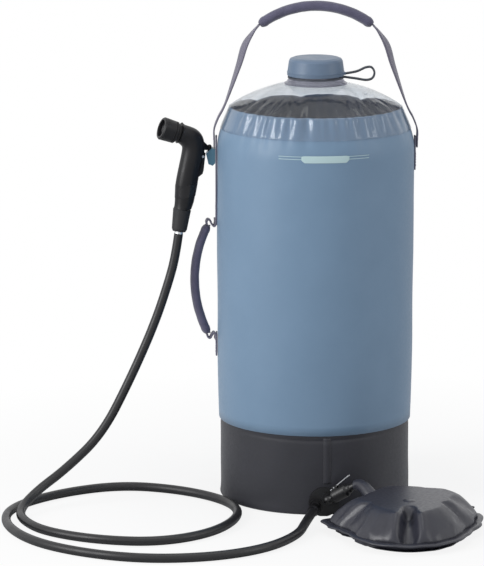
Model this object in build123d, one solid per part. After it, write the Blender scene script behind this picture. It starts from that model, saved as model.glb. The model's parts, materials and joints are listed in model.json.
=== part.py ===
"""Portable pressure shower: a soft welded water tank on a boot, with a foot pump and a hand nozzle.

Millimetres, +Z up. The origin is the centre of the tank's foot on the ground, -Y is the front.
"""
from build123d import *
import math
import os

# Driving sizes of the tank
TANK_DIA = 240.0          # blue wall at its widest
BOOT_DIA = TANK_DIA - 7.4  # black boot that the wall stands in
FILM = 1.2                # thickness of the coated fabric wall
BOOT_FABRIC = 1.6
HEM_Z = 98.0              # lower edge of the blue wall, outside the boot
HEM_OVERLAP = 6.0
BELLY_RISE = 150.0        # from the hem up to where the wall runs straight
RIM_Z = 482.0             # top edge of the blue wall
SHOULDER_Z = RIM_Z - 52.0  # where the wall starts to round in
RIM_DIA = TANK_DIA - 31.0
DOME_FILM = 0.9
DOME_RISE = 28.5          # from the rim up to the neck flange
SKIRT_DROP = 27.0         # clear film welded over the shoulder
FLOOR_LIFT = 3.0          # tank floor above the ground

# Driving sizes of the filler
NECK_BORE = 54.0
NECK_DIA = 61.0
NECK_FLANGE_DIA = 76.0
NECK_BEAD_DIA = 69.6
NECK_RISE = 23.0          # neck rim above its flange
CAP_DIA = 69.8
CAP_TOP_DIA = 64.6
CAP_HEIGHT = 22.5
CAP_WALL = 1.5
CAP_RIBS = 30
CAP_RING_HEIGHT = 4.0
TETHER_REACH = 36.0       # loop of the tether beyond the cap
TETHER_THICK = 2.0
TETHER_WIDTH = 6.0

# Driving sizes of the straps
WEB_WIDTH = 20.0
WEB_THICK = 1.8
STRAP_PIVOT_Z = SHOULDER_Z + 11.0
CARRY_TOP_Z = RIM_Z + 122.4  # middle of the carry grip
CARRY_GRIP_DIA = 12.0
SIDE_GRIP_DIA = 10.4
SIDE_GRIP_TOP_Z = RIM_Z - 147.0
SIDE_GRIP_BOTTOM_Z = SIDE_GRIP_TOP_Z - 134.0
SIDE_GRIP_BOW = 27.0      # grip centre from the tank wall

# Driving sizes of the nozzle, drawn upright and then turned about its peg
CLIP_TOP_Z = STRAP_PIVOT_Z - 9.0
NOZZLE_PEG_X = -(TANK_DIA / 2 + 9.0)
NOZZLE_DRAWN_Z = 432.0    # height of the clip's top in the nozzle's drawing
NOZZLE_TURN = 18.0
HEAD_DIA = 28.0
HEAD_TILT = 19.5
RING_LENGTH = 20.0
FACE_RECESS = 2.6
RING_RIBS = 24
HANDLE_WIDTH = 25.0
BAND_HEIGHT = 15.5
COLLAR_LENGTH = 28.0
COLLAR_TILT = 8.5
COLLAR_TOP_DIA = 22.0
COLLAR_END_DIA = 17.4
PEG_DIA = 5.0
TRIGGER_WIDTH = 12.0
TRIGGER_PIN_DIA = 3.0
STEM_DIA = 4.0
TRIGGER_ANGLE = 8.0       # travel of the trigger, degrees

# Driving sizes of the ports, the pump and the hose
HOSE_DIA = 11.0
FERRULE_DIA = 14.0
PORT_FLANGE_DIA = 16.0
PORT_SHANK_DIA = 9.0
OUTLET_X = 0.0
OUTLET_Z = 13.0
INLET_X = 14.5
INLET_Z = 21.5
PLUG_DIA = 16.0
PLUG_LENGTH = 29.0
LEVER_LENGTH = 30.0
PUMP_X = 108.0
PUMP_Y = -(TANK_DIA / 2 + 92.0)
PUMP_DIA = 176.0
PUMP_TOP_DIA = 118.0
PUMP_HEIGHT = 43.0
PUMP_SEAM_Z = 10.0
PUMP_FABRIC = 1.2
NECK_TUBE_DIA = 13.0

# Clearances
SOFT_GAP = 0.3
RUN_GAP = 0.05
SLIP_GAP = 0.15

TANK_R = TANK_DIA / 2
BOOT_R = BOOT_DIA / 2
RIM_R = RIM_DIA / 2
LINER_R = BOOT_R - BOOT_FABRIC - 0.1
TANK_IN_R = LINER_R - FILM
NECK_Z = RIM_Z + DOME_RISE
NECK_TOP = NECK_Z + NECK_RISE
CAP_Z = NECK_Z + 9.0


def revolved(points):
    """Turn a closed outline of (radius, height) points about the Z axis."""
    outline = make_face(Plane.XZ * Polyline(*points, close=True))
    return revolve(outline, Axis.Z, 360)


def disc(radius, z0, z1):
    """A plain disc between two heights."""
    return Pos(0, 0, z0) * Cylinder(radius, z1 - z0, align=(Align.CENTER, Align.CENTER, Align.MIN))


def ring(outer, inner, z0, z1):
    """A plain ring between two heights."""
    return disc(outer, z0, z1) - disc(inner, z0 - 1, z1 + 1)


def aimed(start, direction):
    """A plane at a start point whose normal is the given direction."""
    return Plane(origin=start, z_dir=direction)


def rod(start, direction, radius, length, end_radius=None):
    """A round rod, or a cone when the end radius differs."""
    end = radius if end_radius is None else end_radius
    low = (Align.CENTER, Align.CENTER, Align.MIN)
    if abs(end - radius) < 0.001:
        return aimed(start, direction) * Cylinder(radius, length, align=low)
    return aimed(start, direction) * Cone(radius, end, length, align=low)


def ribbon(points, thickness, width, radius):
    """A strap drawn from the front: a rounded path of given thickness, extruded along Y."""
    path = Wire(FilletPolyline(*[(x, z) for x, z in points], radius=radius).edges())
    band = make_face(path.offset_2d(thickness / 2, kind=Kind.ARC, side=Side.BOTH).edges())
    return Plane.XZ * extrude(band, width / 2, both=True)


HEM_R = BOOT_R + SLIP_GAP + FILM
BELLY_Z = HEM_Z + BELLY_RISE


def wall_skin(outward):
    """The blue wall's side view from hem to rim, moved outward by a distance."""
    low = Bezier((HEM_R + outward, HEM_Z), (TANK_R - 0.8 + outward, HEM_Z + 0.3 * BELLY_RISE),
                 (TANK_R + outward, BELLY_Z - BELLY_RISE / 3), (TANK_R + outward, BELLY_Z))
    side = Line((TANK_R + outward, BELLY_Z), (TANK_R + outward, SHOULDER_Z))
    rise = RIM_Z - SHOULDER_Z
    top = Bezier((TANK_R + outward, SHOULDER_Z), (TANK_R + outward, SHOULDER_Z + 0.38 * rise),
                 (RIM_R + 7.5 + outward, RIM_Z - 0.37 * rise), (RIM_R + outward, RIM_Z))
    return [low, side, top]


def wall_shell(thickness, outward=0.0):
    """The revolved wall between two skins."""
    outer = wall_skin(outward)
    inner = wall_skin(outward - thickness)
    ends = [Line(outer[0] @ 0, inner[0] @ 0), Line(outer[-1] @ 1, inner[-1] @ 1)]
    return revolve(make_face(Plane.XZ * Curve(outer + inner + ends)), Axis.Z, 360)


# Tank: liner inside the boot, blue wall above it, and the welded floor

PORT_Y = -(BOOT_R + 2.4)
PORT_HOLES = [(OUTLET_X, OUTLET_Z), (INLET_X, INLET_Z)]


def port_drill(diameter):
    """Two holes through the front of the tank for the port shanks."""
    drills = [Pos(x, PORT_Y + 10, z) * Rotation(90, 0, 0) * Cylinder(diameter / 2, 40) for x, z in PORT_HOLES]
    return drills[0] + drills[1]


def tank_wall():
    liner = ring(LINER_R, TANK_IN_R, FLOOR_LIFT + FILM, HEM_Z + HEM_OVERLAP + 2)
    bridge = ring(HEM_R, TANK_IN_R, HEM_Z + HEM_OVERLAP + SOFT_GAP, HEM_Z + HEM_OVERLAP + 2)
    return wall_shell(FILM) + bridge + liner - port_drill(PORT_SHANK_DIA + 0.4)


def tank_floor():
    return disc(LINER_R, FLOOR_LIFT, FLOOR_LIFT + FILM)


def base_boot():
    edge = 3.0
    wall = disc(BOOT_R, 0, HEM_Z + HEM_OVERLAP)
    wall = fillet(wall.edges().group_by(Axis.Z)[0], edge)
    wall -= disc(BOOT_R - BOOT_FABRIC, BOOT_FABRIC, HEM_Z + HEM_OVERLAP + 1)
    return wall - port_drill(PORT_SHANK_DIA + 0.4)


def boot_seam():
    """The welded lap down the front of the boot."""
    lap = Pos(13, -BOOT_R, 66) * Box(9, 8, 60)
    band = ring(BOOT_R + 0.8, BOOT_R, 40, HEM_Z - 1)
    return band & lap


DOME_EDGE_R = RIM_R + DOME_FILM
DOME_HOLE_R = NECK_FLANGE_DIA / 2 - 5.0
DOME_CENTRE_Z = (NECK_Z + RIM_Z - (DOME_EDGE_R ** 2 - DOME_HOLE_R ** 2) / DOME_RISE) / 2
DOME_R = math.hypot(DOME_EDGE_R, RIM_Z - DOME_CENTRE_Z)


def dome_z(radius):
    """Height of the clear dome's outer face at a distance from the middle."""
    return DOME_CENTRE_Z + math.sqrt(DOME_R ** 2 - radius ** 2)


def tank_dome():
    """A shallow spherical cap of clear film with a skirt welded over the shoulder."""
    ball = Pos(0, 0, DOME_CENTRE_Z) * (Sphere(DOME_R) - Sphere(DOME_R - DOME_FILM))
    cap = (ball & disc(DOME_R, RIM_Z, RIM_Z + 2 * DOME_RISE)) - disc(DOME_HOLE_R, RIM_Z, RIM_Z + 2 * DOME_RISE)
    skirt = wall_shell(DOME_FILM, DOME_FILM + 0.05) & disc(TANK_R + 5, RIM_Z - SKIRT_DROP, RIM_Z)
    return cap + skirt


# Filler neck, screw cap and tether

def filler_neck():
    """The moulded spout: a flange welded on the dome, a bead and the round neck."""
    bore = NECK_BORE / 2
    bead = NECK_BEAD_DIA / 2
    edge = NECK_FLANGE_DIA / 2
    return revolved([
        (bore, dome_z(bore) + 0.1),
        (edge, dome_z(edge) + 0.1),
        (edge, dome_z(edge) + 1.2),
        (bead, NECK_Z + 1.6),
        (bead, NECK_Z + 3.2),
        (bead - 1.6, NECK_Z + 3.8),
        (bead - 1.6, NECK_Z + 5.0),
        (NECK_DIA / 2, NECK_Z + 5.8),
        (NECK_DIA / 2, NECK_TOP),
        (bore, NECK_TOP),
    ])


def tether_collar():
    z0 = NECK_Z + 6.0
    band = ring(NECK_BEAD_DIA / 2 - 0.8, NECK_DIA / 2 + SLIP_GAP, z0, z0 + 2.0)
    ear = Pos(NECK_BEAD_DIA / 2 - 1.6, 0, z0 + 1.0) * Box(5.0, TETHER_WIDTH, 2.0)
    ear -= disc(NECK_DIA / 2 + SLIP_GAP, z0 - 1, z0 + 3)
    return band + ear


RING_IN_R = CAP_DIA / 2 - 2.0
RING_OUT_R = CAP_DIA / 2 - 0.2


def cap_tether_ring():
    z0 = CAP_Z + 0.8
    band = ring(RING_OUT_R, RING_IN_R, z0, z0 + CAP_RING_HEIGHT - 1.0)
    ear = Pos(RING_OUT_R, 0, z0 + (CAP_RING_HEIGHT - 1.0) / 2) * Box(3.0, TETHER_WIDTH, CAP_RING_HEIGHT - 1.0)
    ear -= disc(RING_IN_R + 0.5, z0 - 1, z0 + CAP_RING_HEIGHT)
    return band + ear


def tether_strap():
    near = RING_OUT_R + 1.5 + SOFT_GAP + TETHER_THICK / 2
    far = CAP_DIA / 2 + TETHER_REACH
    top = CAP_Z + 0.8 + (CAP_RING_HEIGHT - 1.0) / 2
    low = NECK_Z + 7.0
    points = [
        (near, top), (near + 12, top + 2.2), (far - 12, top + 8.5), (far - 1, top + 7),
        (far, top - 6), (far - 10, low - 3.6), (near + 8, low - 1.0), (near, low),
    ]
    return ribbon(points, TETHER_THICK, TETHER_WIDTH, 4.0)


def filler_cap():
    top = CAP_Z + CAP_HEIGHT
    lip_r = CAP_DIA / 2 - 1.0
    groove_r = RING_IN_R - RUN_GAP
    band = CAP_Z + CAP_RING_HEIGHT
    body = revolved([
        (0, CAP_Z), (lip_r, CAP_Z), (lip_r, CAP_Z + 0.7), (groove_r, CAP_Z + 0.7),
        (groove_r, band - 0.1), (CAP_DIA / 2, band - 0.1), (CAP_DIA / 2, band + 0.8),
        (CAP_DIA / 2 - 0.5, band + 1.0), (CAP_TOP_DIA / 2 + 0.3, top - 4.5),
        (CAP_TOP_DIA / 2 - 1.2, top - 2.0), (CAP_TOP_DIA / 2 - 5.0, top - 0.6), (0, top),
    ])
    body -= disc(CAP_DIA / 2 - 2.0 - CAP_WALL, CAP_Z - 1, top - 5.0)
    slot = Pos(CAP_DIA / 2 + 0.1, 0, (band + top) / 2 - 0.8) * Rotation(0, -6, 0) * Box(2.0, 3.2, 10.5)
    body -= PolarLocations(0, CAP_RIBS) * slot
    return body


def cap_gasket():
    top = CAP_Z + CAP_HEIGHT - 5.0
    return ring(NECK_DIA / 2 + 0.4, NECK_BORE / 2 - 0.5, NECK_TOP + SOFT_GAP, top)


# Webbing straps

LEFT = -1.0
RIGHT = 1.0
ANCHOR_TOP = STRAP_PIVOT_Z + 4.0
ANCHOR_LOW = STRAP_PIVOT_Z - 36.0
TAB_X = TANK_R + 2.0      # outer flat face of the anchor tabs


def wall_tab(side, z0, z1, width):
    """A sewn tab that follows the tank wall on its inner side and is flat on its outer side."""
    block = Pos(side * (TAB_X - 3.0), 0, (z0 + z1) / 2) * Box(6.0, width, z1 - z0)
    core = disc(TANK_R + 0.02, z0 - 1, z1 + 1)
    return block - core


def strap_anchor(side):
    return wall_tab(side, ANCHOR_LOW, ANCHOR_TOP, WEB_WIDTH)


LEG_X = TAB_X + SOFT_GAP + WEB_THICK / 2


CARRY_SPAN = CARRY_TOP_Z - STRAP_PIVOT_Z
GRIP_HALF = 0.552 * LEG_X
GRIP_END_Z = CARRY_TOP_Z - 0.141 * CARRY_SPAN


def carry_leg(side):
    """One leg of the carry strap, from its rounded end at the pivot up to the grip."""
    line = [(1.0, 0.0), (1.0, 0.08), (0.96, 0.165), (0.89, 0.27), (0.763, 0.545), (0.70, 0.70), (0.62, 0.80)]
    points = [(side * LEG_X * share, STRAP_PIVOT_Z + CARRY_SPAN * rise) for share, rise in line]
    leg = ribbon(points + [(side * (GRIP_HALF + 0.5), GRIP_END_Z - 0.5)], WEB_THICK, WEB_WIDTH, 8.0)
    end = Pos(side * LEG_X, 0, STRAP_PIVOT_Z) * Rotation(0, 90, 0) * Cylinder(WEB_WIDTH / 2, WEB_THICK)
    below = Pos(side * LEG_X, 0, STRAP_PIVOT_Z - 10) * Box(12, 2 * WEB_WIDTH, 20)
    return (leg - below) + end


def grip_bar(radius, extra):
    """A round bar along the bowed carry grip, longer than the grip by an extra at each end."""
    path = ThreePointArc((-GRIP_HALF, 0, GRIP_END_Z), (0, 0, CARRY_TOP_Z), (GRIP_HALF, 0, GRIP_END_Z))
    bar = sweep(Plane(origin=path @ 0, z_dir=path % 0) * Circle(radius), path=path)
    if extra > 0:
        bar += rod(path @ 0, tuple(-(path % 0)), radius, extra)
        bar += rod(path @ 1, tuple(path % 1), radius, extra)
    return bar


GRIP_BORE_R = CARRY_GRIP_DIA / 2 - 1.5


def carry_grip():
    return grip_bar(CARRY_GRIP_DIA / 2, 0) - grip_bar(GRIP_BORE_R, 0)


def carry_webbing():
    """Both legs and the folded webbing that runs through the grip."""
    legs = carry_leg(LEFT) + carry_leg(RIGHT) - grip_bar(WEB_WIDTH / 2 + 2, 0)
    return legs + grip_bar(GRIP_BORE_R - 0.1, 4.0)


SIDE_X = -(TANK_R + 11.0)
CURL_GAP = SOFT_GAP + WEB_THICK / 2


def side_webbing_upper():
    """Webbing sewn down the wall from the anchor, with a short curl out to the grip."""
    strip = wall_tab(LEFT, SIDE_GRIP_TOP_Z + 2, ANCHOR_LOW, WEB_WIDTH)
    x = -(TAB_X - 1.0)
    z = SIDE_GRIP_TOP_Z
    curl = [(x, z + 5), (x - 0.4, z - 2), (x - 3.6, z + 2.6), (x - 5, z + 8.5), (SIDE_X - 1, z + 8),
            (SIDE_X - 1.2, z + CURL_GAP)]
    return strip + ribbon(curl, WEB_THICK, WEB_WIDTH * 0.5, 1.6)


def side_webbing_lower():
    """The lower curl of the side handle and its sewn tab."""
    z = SIDE_GRIP_BOTTOM_Z
    tab = wall_tab(LEFT, z - 27, z, WEB_WIDTH)
    x = -(TAB_X - 1.0)
    curl = [(x, z - 3), (x - 0.6, z + 3.5), (x - 4.0, z - 3.0), (SIDE_X + 1.5, z - 5.5), (SIDE_X - 0.6, z - CURL_GAP)]
    return tab + ribbon(curl, WEB_THICK, WEB_WIDTH * 0.5, 1.4)


def side_path():
    middle = (SIDE_GRIP_TOP_Z + SIDE_GRIP_BOTTOM_Z) / 2
    out = -(TANK_R + SIDE_GRIP_BOW)
    return ThreePointArc((SIDE_X, 0, SIDE_GRIP_TOP_Z + 2), (out, 0, middle), (SIDE_X, 0, SIDE_GRIP_BOTTOM_Z - 2))


def side_sweep(radius):
    """A round bar along the side grip, cut level at both ends."""
    path = side_path()
    bar = sweep(Plane(origin=path @ 0, z_dir=path % 0) * Circle(radius), path=path)
    middle = (SIDE_GRIP_TOP_Z + SIDE_GRIP_BOTTOM_Z) / 2
    keep = Pos(SIDE_X, 0, middle) * Box(4 * SIDE_GRIP_BOW, 4 * SIDE_GRIP_DIA, SIDE_GRIP_TOP_Z - SIDE_GRIP_BOTTOM_Z)
    return bar & keep


def side_grip():
    return side_sweep(SIDE_GRIP_DIA / 2) - side_sweep(SIDE_GRIP_DIA / 2 - 1.4)


def side_core():
    return side_sweep(SIDE_GRIP_DIA / 2 - 1.4)


# Nozzle holster on the left side of the tank

CLIP_OUT_X = TANK_R + 13.2


def holster_clip():
    """A moulded hook plate with a slanted top and a round socket for the nozzle's peg."""
    low = CLIP_TOP_Z - 22.5
    foot_top = STRAP_PIVOT_Z - WEB_WIDTH / 2 - 1.0
    side = [
        (-TAB_X, low + 3), (-(TAB_X + 3), low), (-(CLIP_OUT_X - 3), low + 2), (-CLIP_OUT_X, CLIP_TOP_Z - 7.5),
        (-(LEG_X + WEB_THICK), CLIP_TOP_Z - 0.5), (-(LEG_X + WEB_THICK), foot_top), (-TAB_X, foot_top),
    ]
    body = Plane.XZ * extrude(make_face(Polyline(*side, close=True)), 7.0, both=True)
    return body - Pos(NOZZLE_PEG_X, 0, CLIP_TOP_Z) * Cylinder(PEG_DIA / 2 + SOFT_GAP, 30)


# Nozzle, drawn in the plane y = 0 with u outward from the peg, then turned

def at_nozzle(shape):
    """Put a shape that is drawn along -X from the peg into the nozzle's place."""
    return Pos(NOZZLE_PEG_X, 0, CLIP_TOP_Z - NOZZLE_DRAWN_Z) * Rotation(0, 0, NOZZLE_TURN) * shape


HANDLE_END = (-34.9, 0, 357.4)
COLLAR_DIR = (-math.sin(math.radians(COLLAR_TILT)), 0, -math.cos(math.radians(COLLAR_TILT)))
HEAD_DIR = (-math.cos(math.radians(HEAD_TILT)), 0, math.sin(math.radians(HEAD_TILT)))
FACE_POINT = (-61.2, 0, 457.8)
RING_BACK = tuple(FACE_POINT[i] - RING_LENGTH * HEAD_DIR[i] for i in range(3))
PIVOT_U = 10.6
PIVOT_Z = 421.5
STEM_Z = 407.0
PEG_SEAT_Z = 438.5


def section(front, rear, depth):
    """An oval section of the nozzle body between a front and a rear point of its side view."""
    (u0, z0), (u1, z1) = front, rear
    along = (u0 - u1, z0 - z1)
    span = math.hypot(*along)
    middle = (-(u0 + u1) / 2, 0, (z0 + z1) / 2)
    x_dir = (-along[0] / span, 0, along[1] / span)
    normal = (x_dir[2], 0, -x_dir[0])
    return Plane(origin=middle, x_dir=x_dir, z_dir=normal) * Ellipse(span / 2, depth / 2)


BODY_SECTIONS = [
    ((46.0, 358.0), (23.8, 356.8), COLLAR_TOP_DIA),
    ((43.6, 371.5), (19.4, 371.0), HANDLE_WIDTH - 1.5),
    ((42.8, 388.0), (16.2, 386.5), HANDLE_WIDTH - 0.4),
    ((38.4, 410.0), (11.6, 406.5), HANDLE_WIDTH),
    ((34.6, 428.0), (7.2, 425.0), HANDLE_WIDTH + 0.6),
    ((34.6, 433.6), (8.6, 444.0), HANDLE_WIDTH + 0.8),
    ((37.4, 436.6), (21.0, 456.6), HANDLE_WIDTH + 0.6),
    ((42.2, 438.4), (34.0, 463.2), HANDLE_WIDTH + 1.0),
]


def nozzle_solid():
    """The moulded housing before its bores: handle, bend and head in one loft."""
    return loft([section(*row) for row in BODY_SECTIONS])


def trigger_slot(gap):
    """The slot in the back of the handle that the trigger closes."""
    wide = TRIGGER_WIDTH + 2 * gap
    top = PIVOT_Z + 5.5 + gap
    low = PIVOT_Z - 25.5 - gap
    side = [(-(2 - gap), top), (-(16.2 + gap), top - 2), (-(20.2 + gap), low), (-6, low - 4)]
    return Plane.XZ * extrude(make_face(Polyline(*side, close=True)), wide / 2, both=True)


def nozzle_body():
    body = nozzle_solid()
    tail = rod((-12, 0, PEG_SEAT_Z - 3), (12, 0, -6.5), 6.0, 11.0, PEG_DIA / 2 + 0.4)
    peg = rod((0, 0, PEG_SEAT_Z - 6.5), (0, 0, -1), PEG_DIA / 2, 11.0)
    knob = Pos(0, 0, PEG_SEAT_Z - 6.5) * Sphere(PEG_DIA / 2 + 0.3)
    stub = rod((-38.0, 0, RING_BACK[2] - (RING_BACK[0] + 38.0) * HEAD_DIR[2] / HEAD_DIR[0]), HEAD_DIR, 10.0,
               RING_LENGTH - 8.0)
    body = body + tail + peg + knob + stub
    body -= trigger_slot(0.0)
    body -= Pos(-PIVOT_U, 0, PIVOT_Z) * Rotation(90, 0, 0) * Cylinder(TRIGGER_PIN_DIA / 2, 60)
    body -= rod((-18, 0, STEM_Z), (-1, 0, 0), STEM_DIA / 2 + SLIP_GAP, 16.0)
    body -= rod((-24, 0, STEM_Z), (-1, 0, 0), 4.2, 9.0)
    body -= rod(HANDLE_END, tuple(-c for c in COLLAR_DIR), 4.0, 44.0)
    water_back = tuple(FACE_POINT[i] - 40.0 * HEAD_DIR[i] for i in range(3))
    body -= rod(water_back, HEAD_DIR, 4.5, 40.0)
    return at_nozzle(body)


def trigger():
    shape = nozzle_solid_grown() & trigger_slot(-0.35)
    inner = [
        (-13.6, PIVOT_Z + 8.5), (-14.6, PIVOT_Z - 0.5), (-14.3, PIVOT_Z - 17.5), (-16.6, PIVOT_Z - 25.5),
        (-22, PIVOT_Z - 29.5), (-40, PIVOT_Z - 11.5), (-30, PIVOT_Z + 8.5),
    ]
    shape -= Plane.XZ * extrude(make_face(Polyline(*inner, close=True)), 20, both=True)
    shape -= Pos(-PIVOT_U, 0, PIVOT_Z) * Rotation(90, 0, 0) * Cylinder(TRIGGER_PIN_DIA / 2 + RUN_GAP, 60)
    return at_nozzle(shape)


def nozzle_solid_grown():
    """The back of the handle with the trigger's swell standing proud of it."""
    swell = [
        (-6.6, PIVOT_Z + 3.9), (-7.6, PIVOT_Z - 4.5), (-9.2, PIVOT_Z - 17.5), (-10.6, PIVOT_Z - 21.7),
        (-15.6, PIVOT_Z - 25.3), (-30, PIVOT_Z - 25.5), (-30, PIVOT_Z + 6.5), (-10, PIVOT_Z + 5.5),
    ]
    return Plane.XZ * extrude(make_face(Polyline(*swell, close=True)), TRIGGER_WIDTH, both=True)


def trigger_pin():
    pin = Pos(-PIVOT_U, 0, PIVOT_Z) * Rotation(90, 0, 0) * Cylinder(TRIGGER_PIN_DIA / 2, TRIGGER_WIDTH + 6)
    return at_nozzle(pin)


STEM_START = 14.9


def valve_stem():
    stem = rod((-STEM_START, 0, STEM_Z), (-1, 0, 0), STEM_DIA / 2, 12.0)
    head = rod((-STEM_START - 10.4, 0, STEM_Z), (-1, 0, 0), 3.6, 1.6)
    return at_nozzle(stem + head)


def valve_seal():
    seal = rod((-STEM_START - 12.0, 0, STEM_Z), (-1, 0, 0), 3.8, 1.2)
    return at_nozzle(seal)


def valve_spring():
    """The return spring as a ribbed sleeve, seated on the floor of its bore."""
    coils = 4
    pitch = 0.68
    outline = [(2.4, 0)]
    for turn in range(coils):
        outline += [(3.6, (turn + 0.25) * pitch), (3.0, (turn + 0.75) * pitch)]
    outline += [(2.4, coils * pitch)]
    sleeve = revolved(outline)
    return at_nozzle(aimed((-33.0, 0, STEM_Z), (1, 0, 0)) * sleeve)


def nozzle_band():
    """The smooth band round the handle where the two mouldings meet."""
    grown = [(((f[0] + 0.35), f[1]), ((r[0] - 0.35), r[1]), d + 0.7) for f, r, d in BODY_SECTIONS[:4]]
    shell = loft([section(*row) for row in grown]) - nozzle_solid() - trigger_slot(0.1)
    slab = Pos(HANDLE_END[0] + 2.9, 0, HANDLE_END[2] + 22.6) * Rotation(0, -5, 0) * Box(60, 60, BAND_HEIGHT)
    return at_nozzle(shell & slab)


def nozzle_collar():
    inner_r = HOSE_DIA / 2 + 0.1
    low = COLLAR_LENGTH
    profile = [
        (4.0, 0.4), (COLLAR_TOP_DIA / 2 - 0.6, 0.4), (COLLAR_TOP_DIA / 2, 1.0), (COLLAR_TOP_DIA / 2 - 0.2, 3.0),
        (COLLAR_END_DIA / 2 + 0.6, low - 3.0), (COLLAR_END_DIA / 2 - 0.8, low), (inner_r, low),
        (inner_r, low - 12.0), (4.0, low - 12.0),
    ]
    return at_nozzle(aimed(HANDLE_END, COLLAR_DIR) * revolved(profile))


def nozzle_ferrule():
    start = tuple(HANDLE_END[i] + (COLLAR_LENGTH - 6.0) * COLLAR_DIR[i] for i in range(3))
    return at_nozzle(rod(start, COLLAR_DIR, HOSE_DIA / 2 - 0.25, 9.0))


def spray_ring():
    back_r = HEAD_DIA / 2 - 0.6
    front_r = HEAD_DIA / 2
    profile = [
        (10.0 + RUN_GAP, 1.0), (back_r - 0.8, 0.4), (back_r, 1.2), (back_r, 3.4), (back_r - 0.8, 3.8),
        (back_r - 0.8, 4.6), (back_r + 0.1, 5.0), (front_r, RING_LENGTH - 1.4), (front_r - 1.2, RING_LENGTH),
        (front_r - 3.4, RING_LENGTH), (front_r - 3.8, RING_LENGTH - FACE_RECESS), (front_r - 3.8, RING_LENGTH - 8.6),
        (10.0 + RUN_GAP, RING_LENGTH - 8.6),
    ]
    body = revolved(profile)
    groove = Pos(front_r + 0.35, 0, RING_LENGTH - 7.6) * Box(1.4, 1.5, 9.0)
    body -= PolarLocations(0, RING_RIBS) * groove
    return at_nozzle(aimed(RING_BACK, HEAD_DIR) * body)


def spray_face():
    """The rose: a recessed disc with a raised hub and two rings of jets."""
    radius = HEAD_DIA / 2 - 3.85
    low = RING_LENGTH - 7.4
    plate = disc(radius, low, low + 3.6) + disc(4.2, low + 3.6, low + 4.8)
    plate -= PolarLocations(7.4, 12) * (Pos(0, 0, low) * Cylinder(0.75, 12))
    plate -= PolarLocations(2.4, 6) * (Pos(0, 0, low) * Cylinder(0.6, 14))
    return at_nozzle(aimed(RING_BACK, HEAD_DIR) * plate)


# Ports on the front of the boot

PATCH_HALF = 18.0
PATCH_TOP = 35.0
PATCH_X = (OUTLET_X + INLET_X) / 2 + 2.0
OUTLET_DIR = (-0.24, -0.97, -0.08)
INLET_DIR = (0.78, -0.33, 0.53)
ELBOW_OUT = 7.0


def port_patch():
    spring_z = PATCH_TOP - PATCH_HALF
    arch = Pos(PATCH_X, 0, spring_z) * Rotation(90, 0, 0) * Cylinder(PATCH_HALF, 8)
    legs = Pos(PATCH_X, 0, (spring_z + 3) / 2) * Box(2 * PATCH_HALF, 8, spring_z - 3)
    plate = Pos(0, PORT_Y + 4, 0) * (arch + legs)
    return plate - disc(BOOT_R + 0.02, -1, 60) - port_drill(PORT_SHANK_DIA + 0.4)


def port_body(x, z, direction, spigot_r, length, bead_r=0.0):
    """A flanged elbow: shank through the wall, flange on the patch, spigot along a direction."""
    shank = rod((x, PORT_Y, z), (0, 1, 0), PORT_SHANK_DIA / 2, 15.0)
    flange = rod((x, PORT_Y, z), (0, -1, 0), PORT_FLANGE_DIA / 2, 2.2)
    elbow = rod((x, PORT_Y, z), (0, -1, 0), 6.0, ELBOW_OUT) + Pos(x, PORT_Y - ELBOW_OUT, z) * Sphere(6.0)
    spigot = rod((x, PORT_Y - ELBOW_OUT, z), direction, spigot_r, length)
    if bead_r > 0:
        spigot += rod(along((x, PORT_Y - ELBOW_OUT, z), direction, length - 4.5), direction, bead_r, 2.5)
    passage = rod((x, PORT_Y + 16, z), (0, -1, 0), 2.8, 16 + ELBOW_OUT)
    passage += Pos(x, PORT_Y - ELBOW_OUT, z) * Sphere(2.8) + rod((x, PORT_Y - ELBOW_OUT, z), direction, 2.8, length + 1)
    return shank + flange + elbow + spigot - passage


NUT_R = 7.5


def port_nut(x, z):
    """The hexagon nut on a port's shank, just clear of the curved liner."""
    reach = abs(x) + NUT_R
    face_y = -math.sqrt(TANK_IN_R ** 2 - reach ** 2) + 0.1
    nut = extrude(RegularPolygon(radius=NUT_R, side_count=6), 4.0)
    nut -= Cylinder(PORT_SHANK_DIA / 2 + RUN_GAP, 20)
    return Pos(x, face_y, z) * Rotation(-90, 0, 0) * nut


OUTLET_ELBOW = (OUTLET_X, PORT_Y - ELBOW_OUT, OUTLET_Z)
INLET_ELBOW = (INLET_X, PORT_Y - ELBOW_OUT, INLET_Z)


def unit(vector):
    size = math.sqrt(sum(c * c for c in vector))
    return tuple(c / size for c in vector)


def along(start, direction, distance):
    """The point at a distance from a start in a direction."""
    step = unit(direction)
    return tuple(start[i] + distance * step[i] for i in range(3))


def outlet_fitting():
    return port_body(OUTLET_X, OUTLET_Z, OUTLET_DIR, 4.2, 12.0)


def outlet_ferrule():
    start = along(OUTLET_ELBOW, OUTLET_DIR, 6.0)
    body = rod(start, OUTLET_DIR, FERRULE_DIA / 2, 10.0) + rod(
        along(OUTLET_ELBOW, OUTLET_DIR, 16.0), OUTLET_DIR, FERRULE_DIA / 2, 3.5, HOSE_DIA / 2)
    cavity = rod(OUTLET_ELBOW, OUTLET_DIR, 4.2 + 0.02, 12.1)
    keep_off = Pos(*OUTLET_ELBOW) * Sphere(6.02)
    return body - cavity - keep_off


HOSE_START = along(OUTLET_ELBOW, OUTLET_DIR, 19.5)


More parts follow.
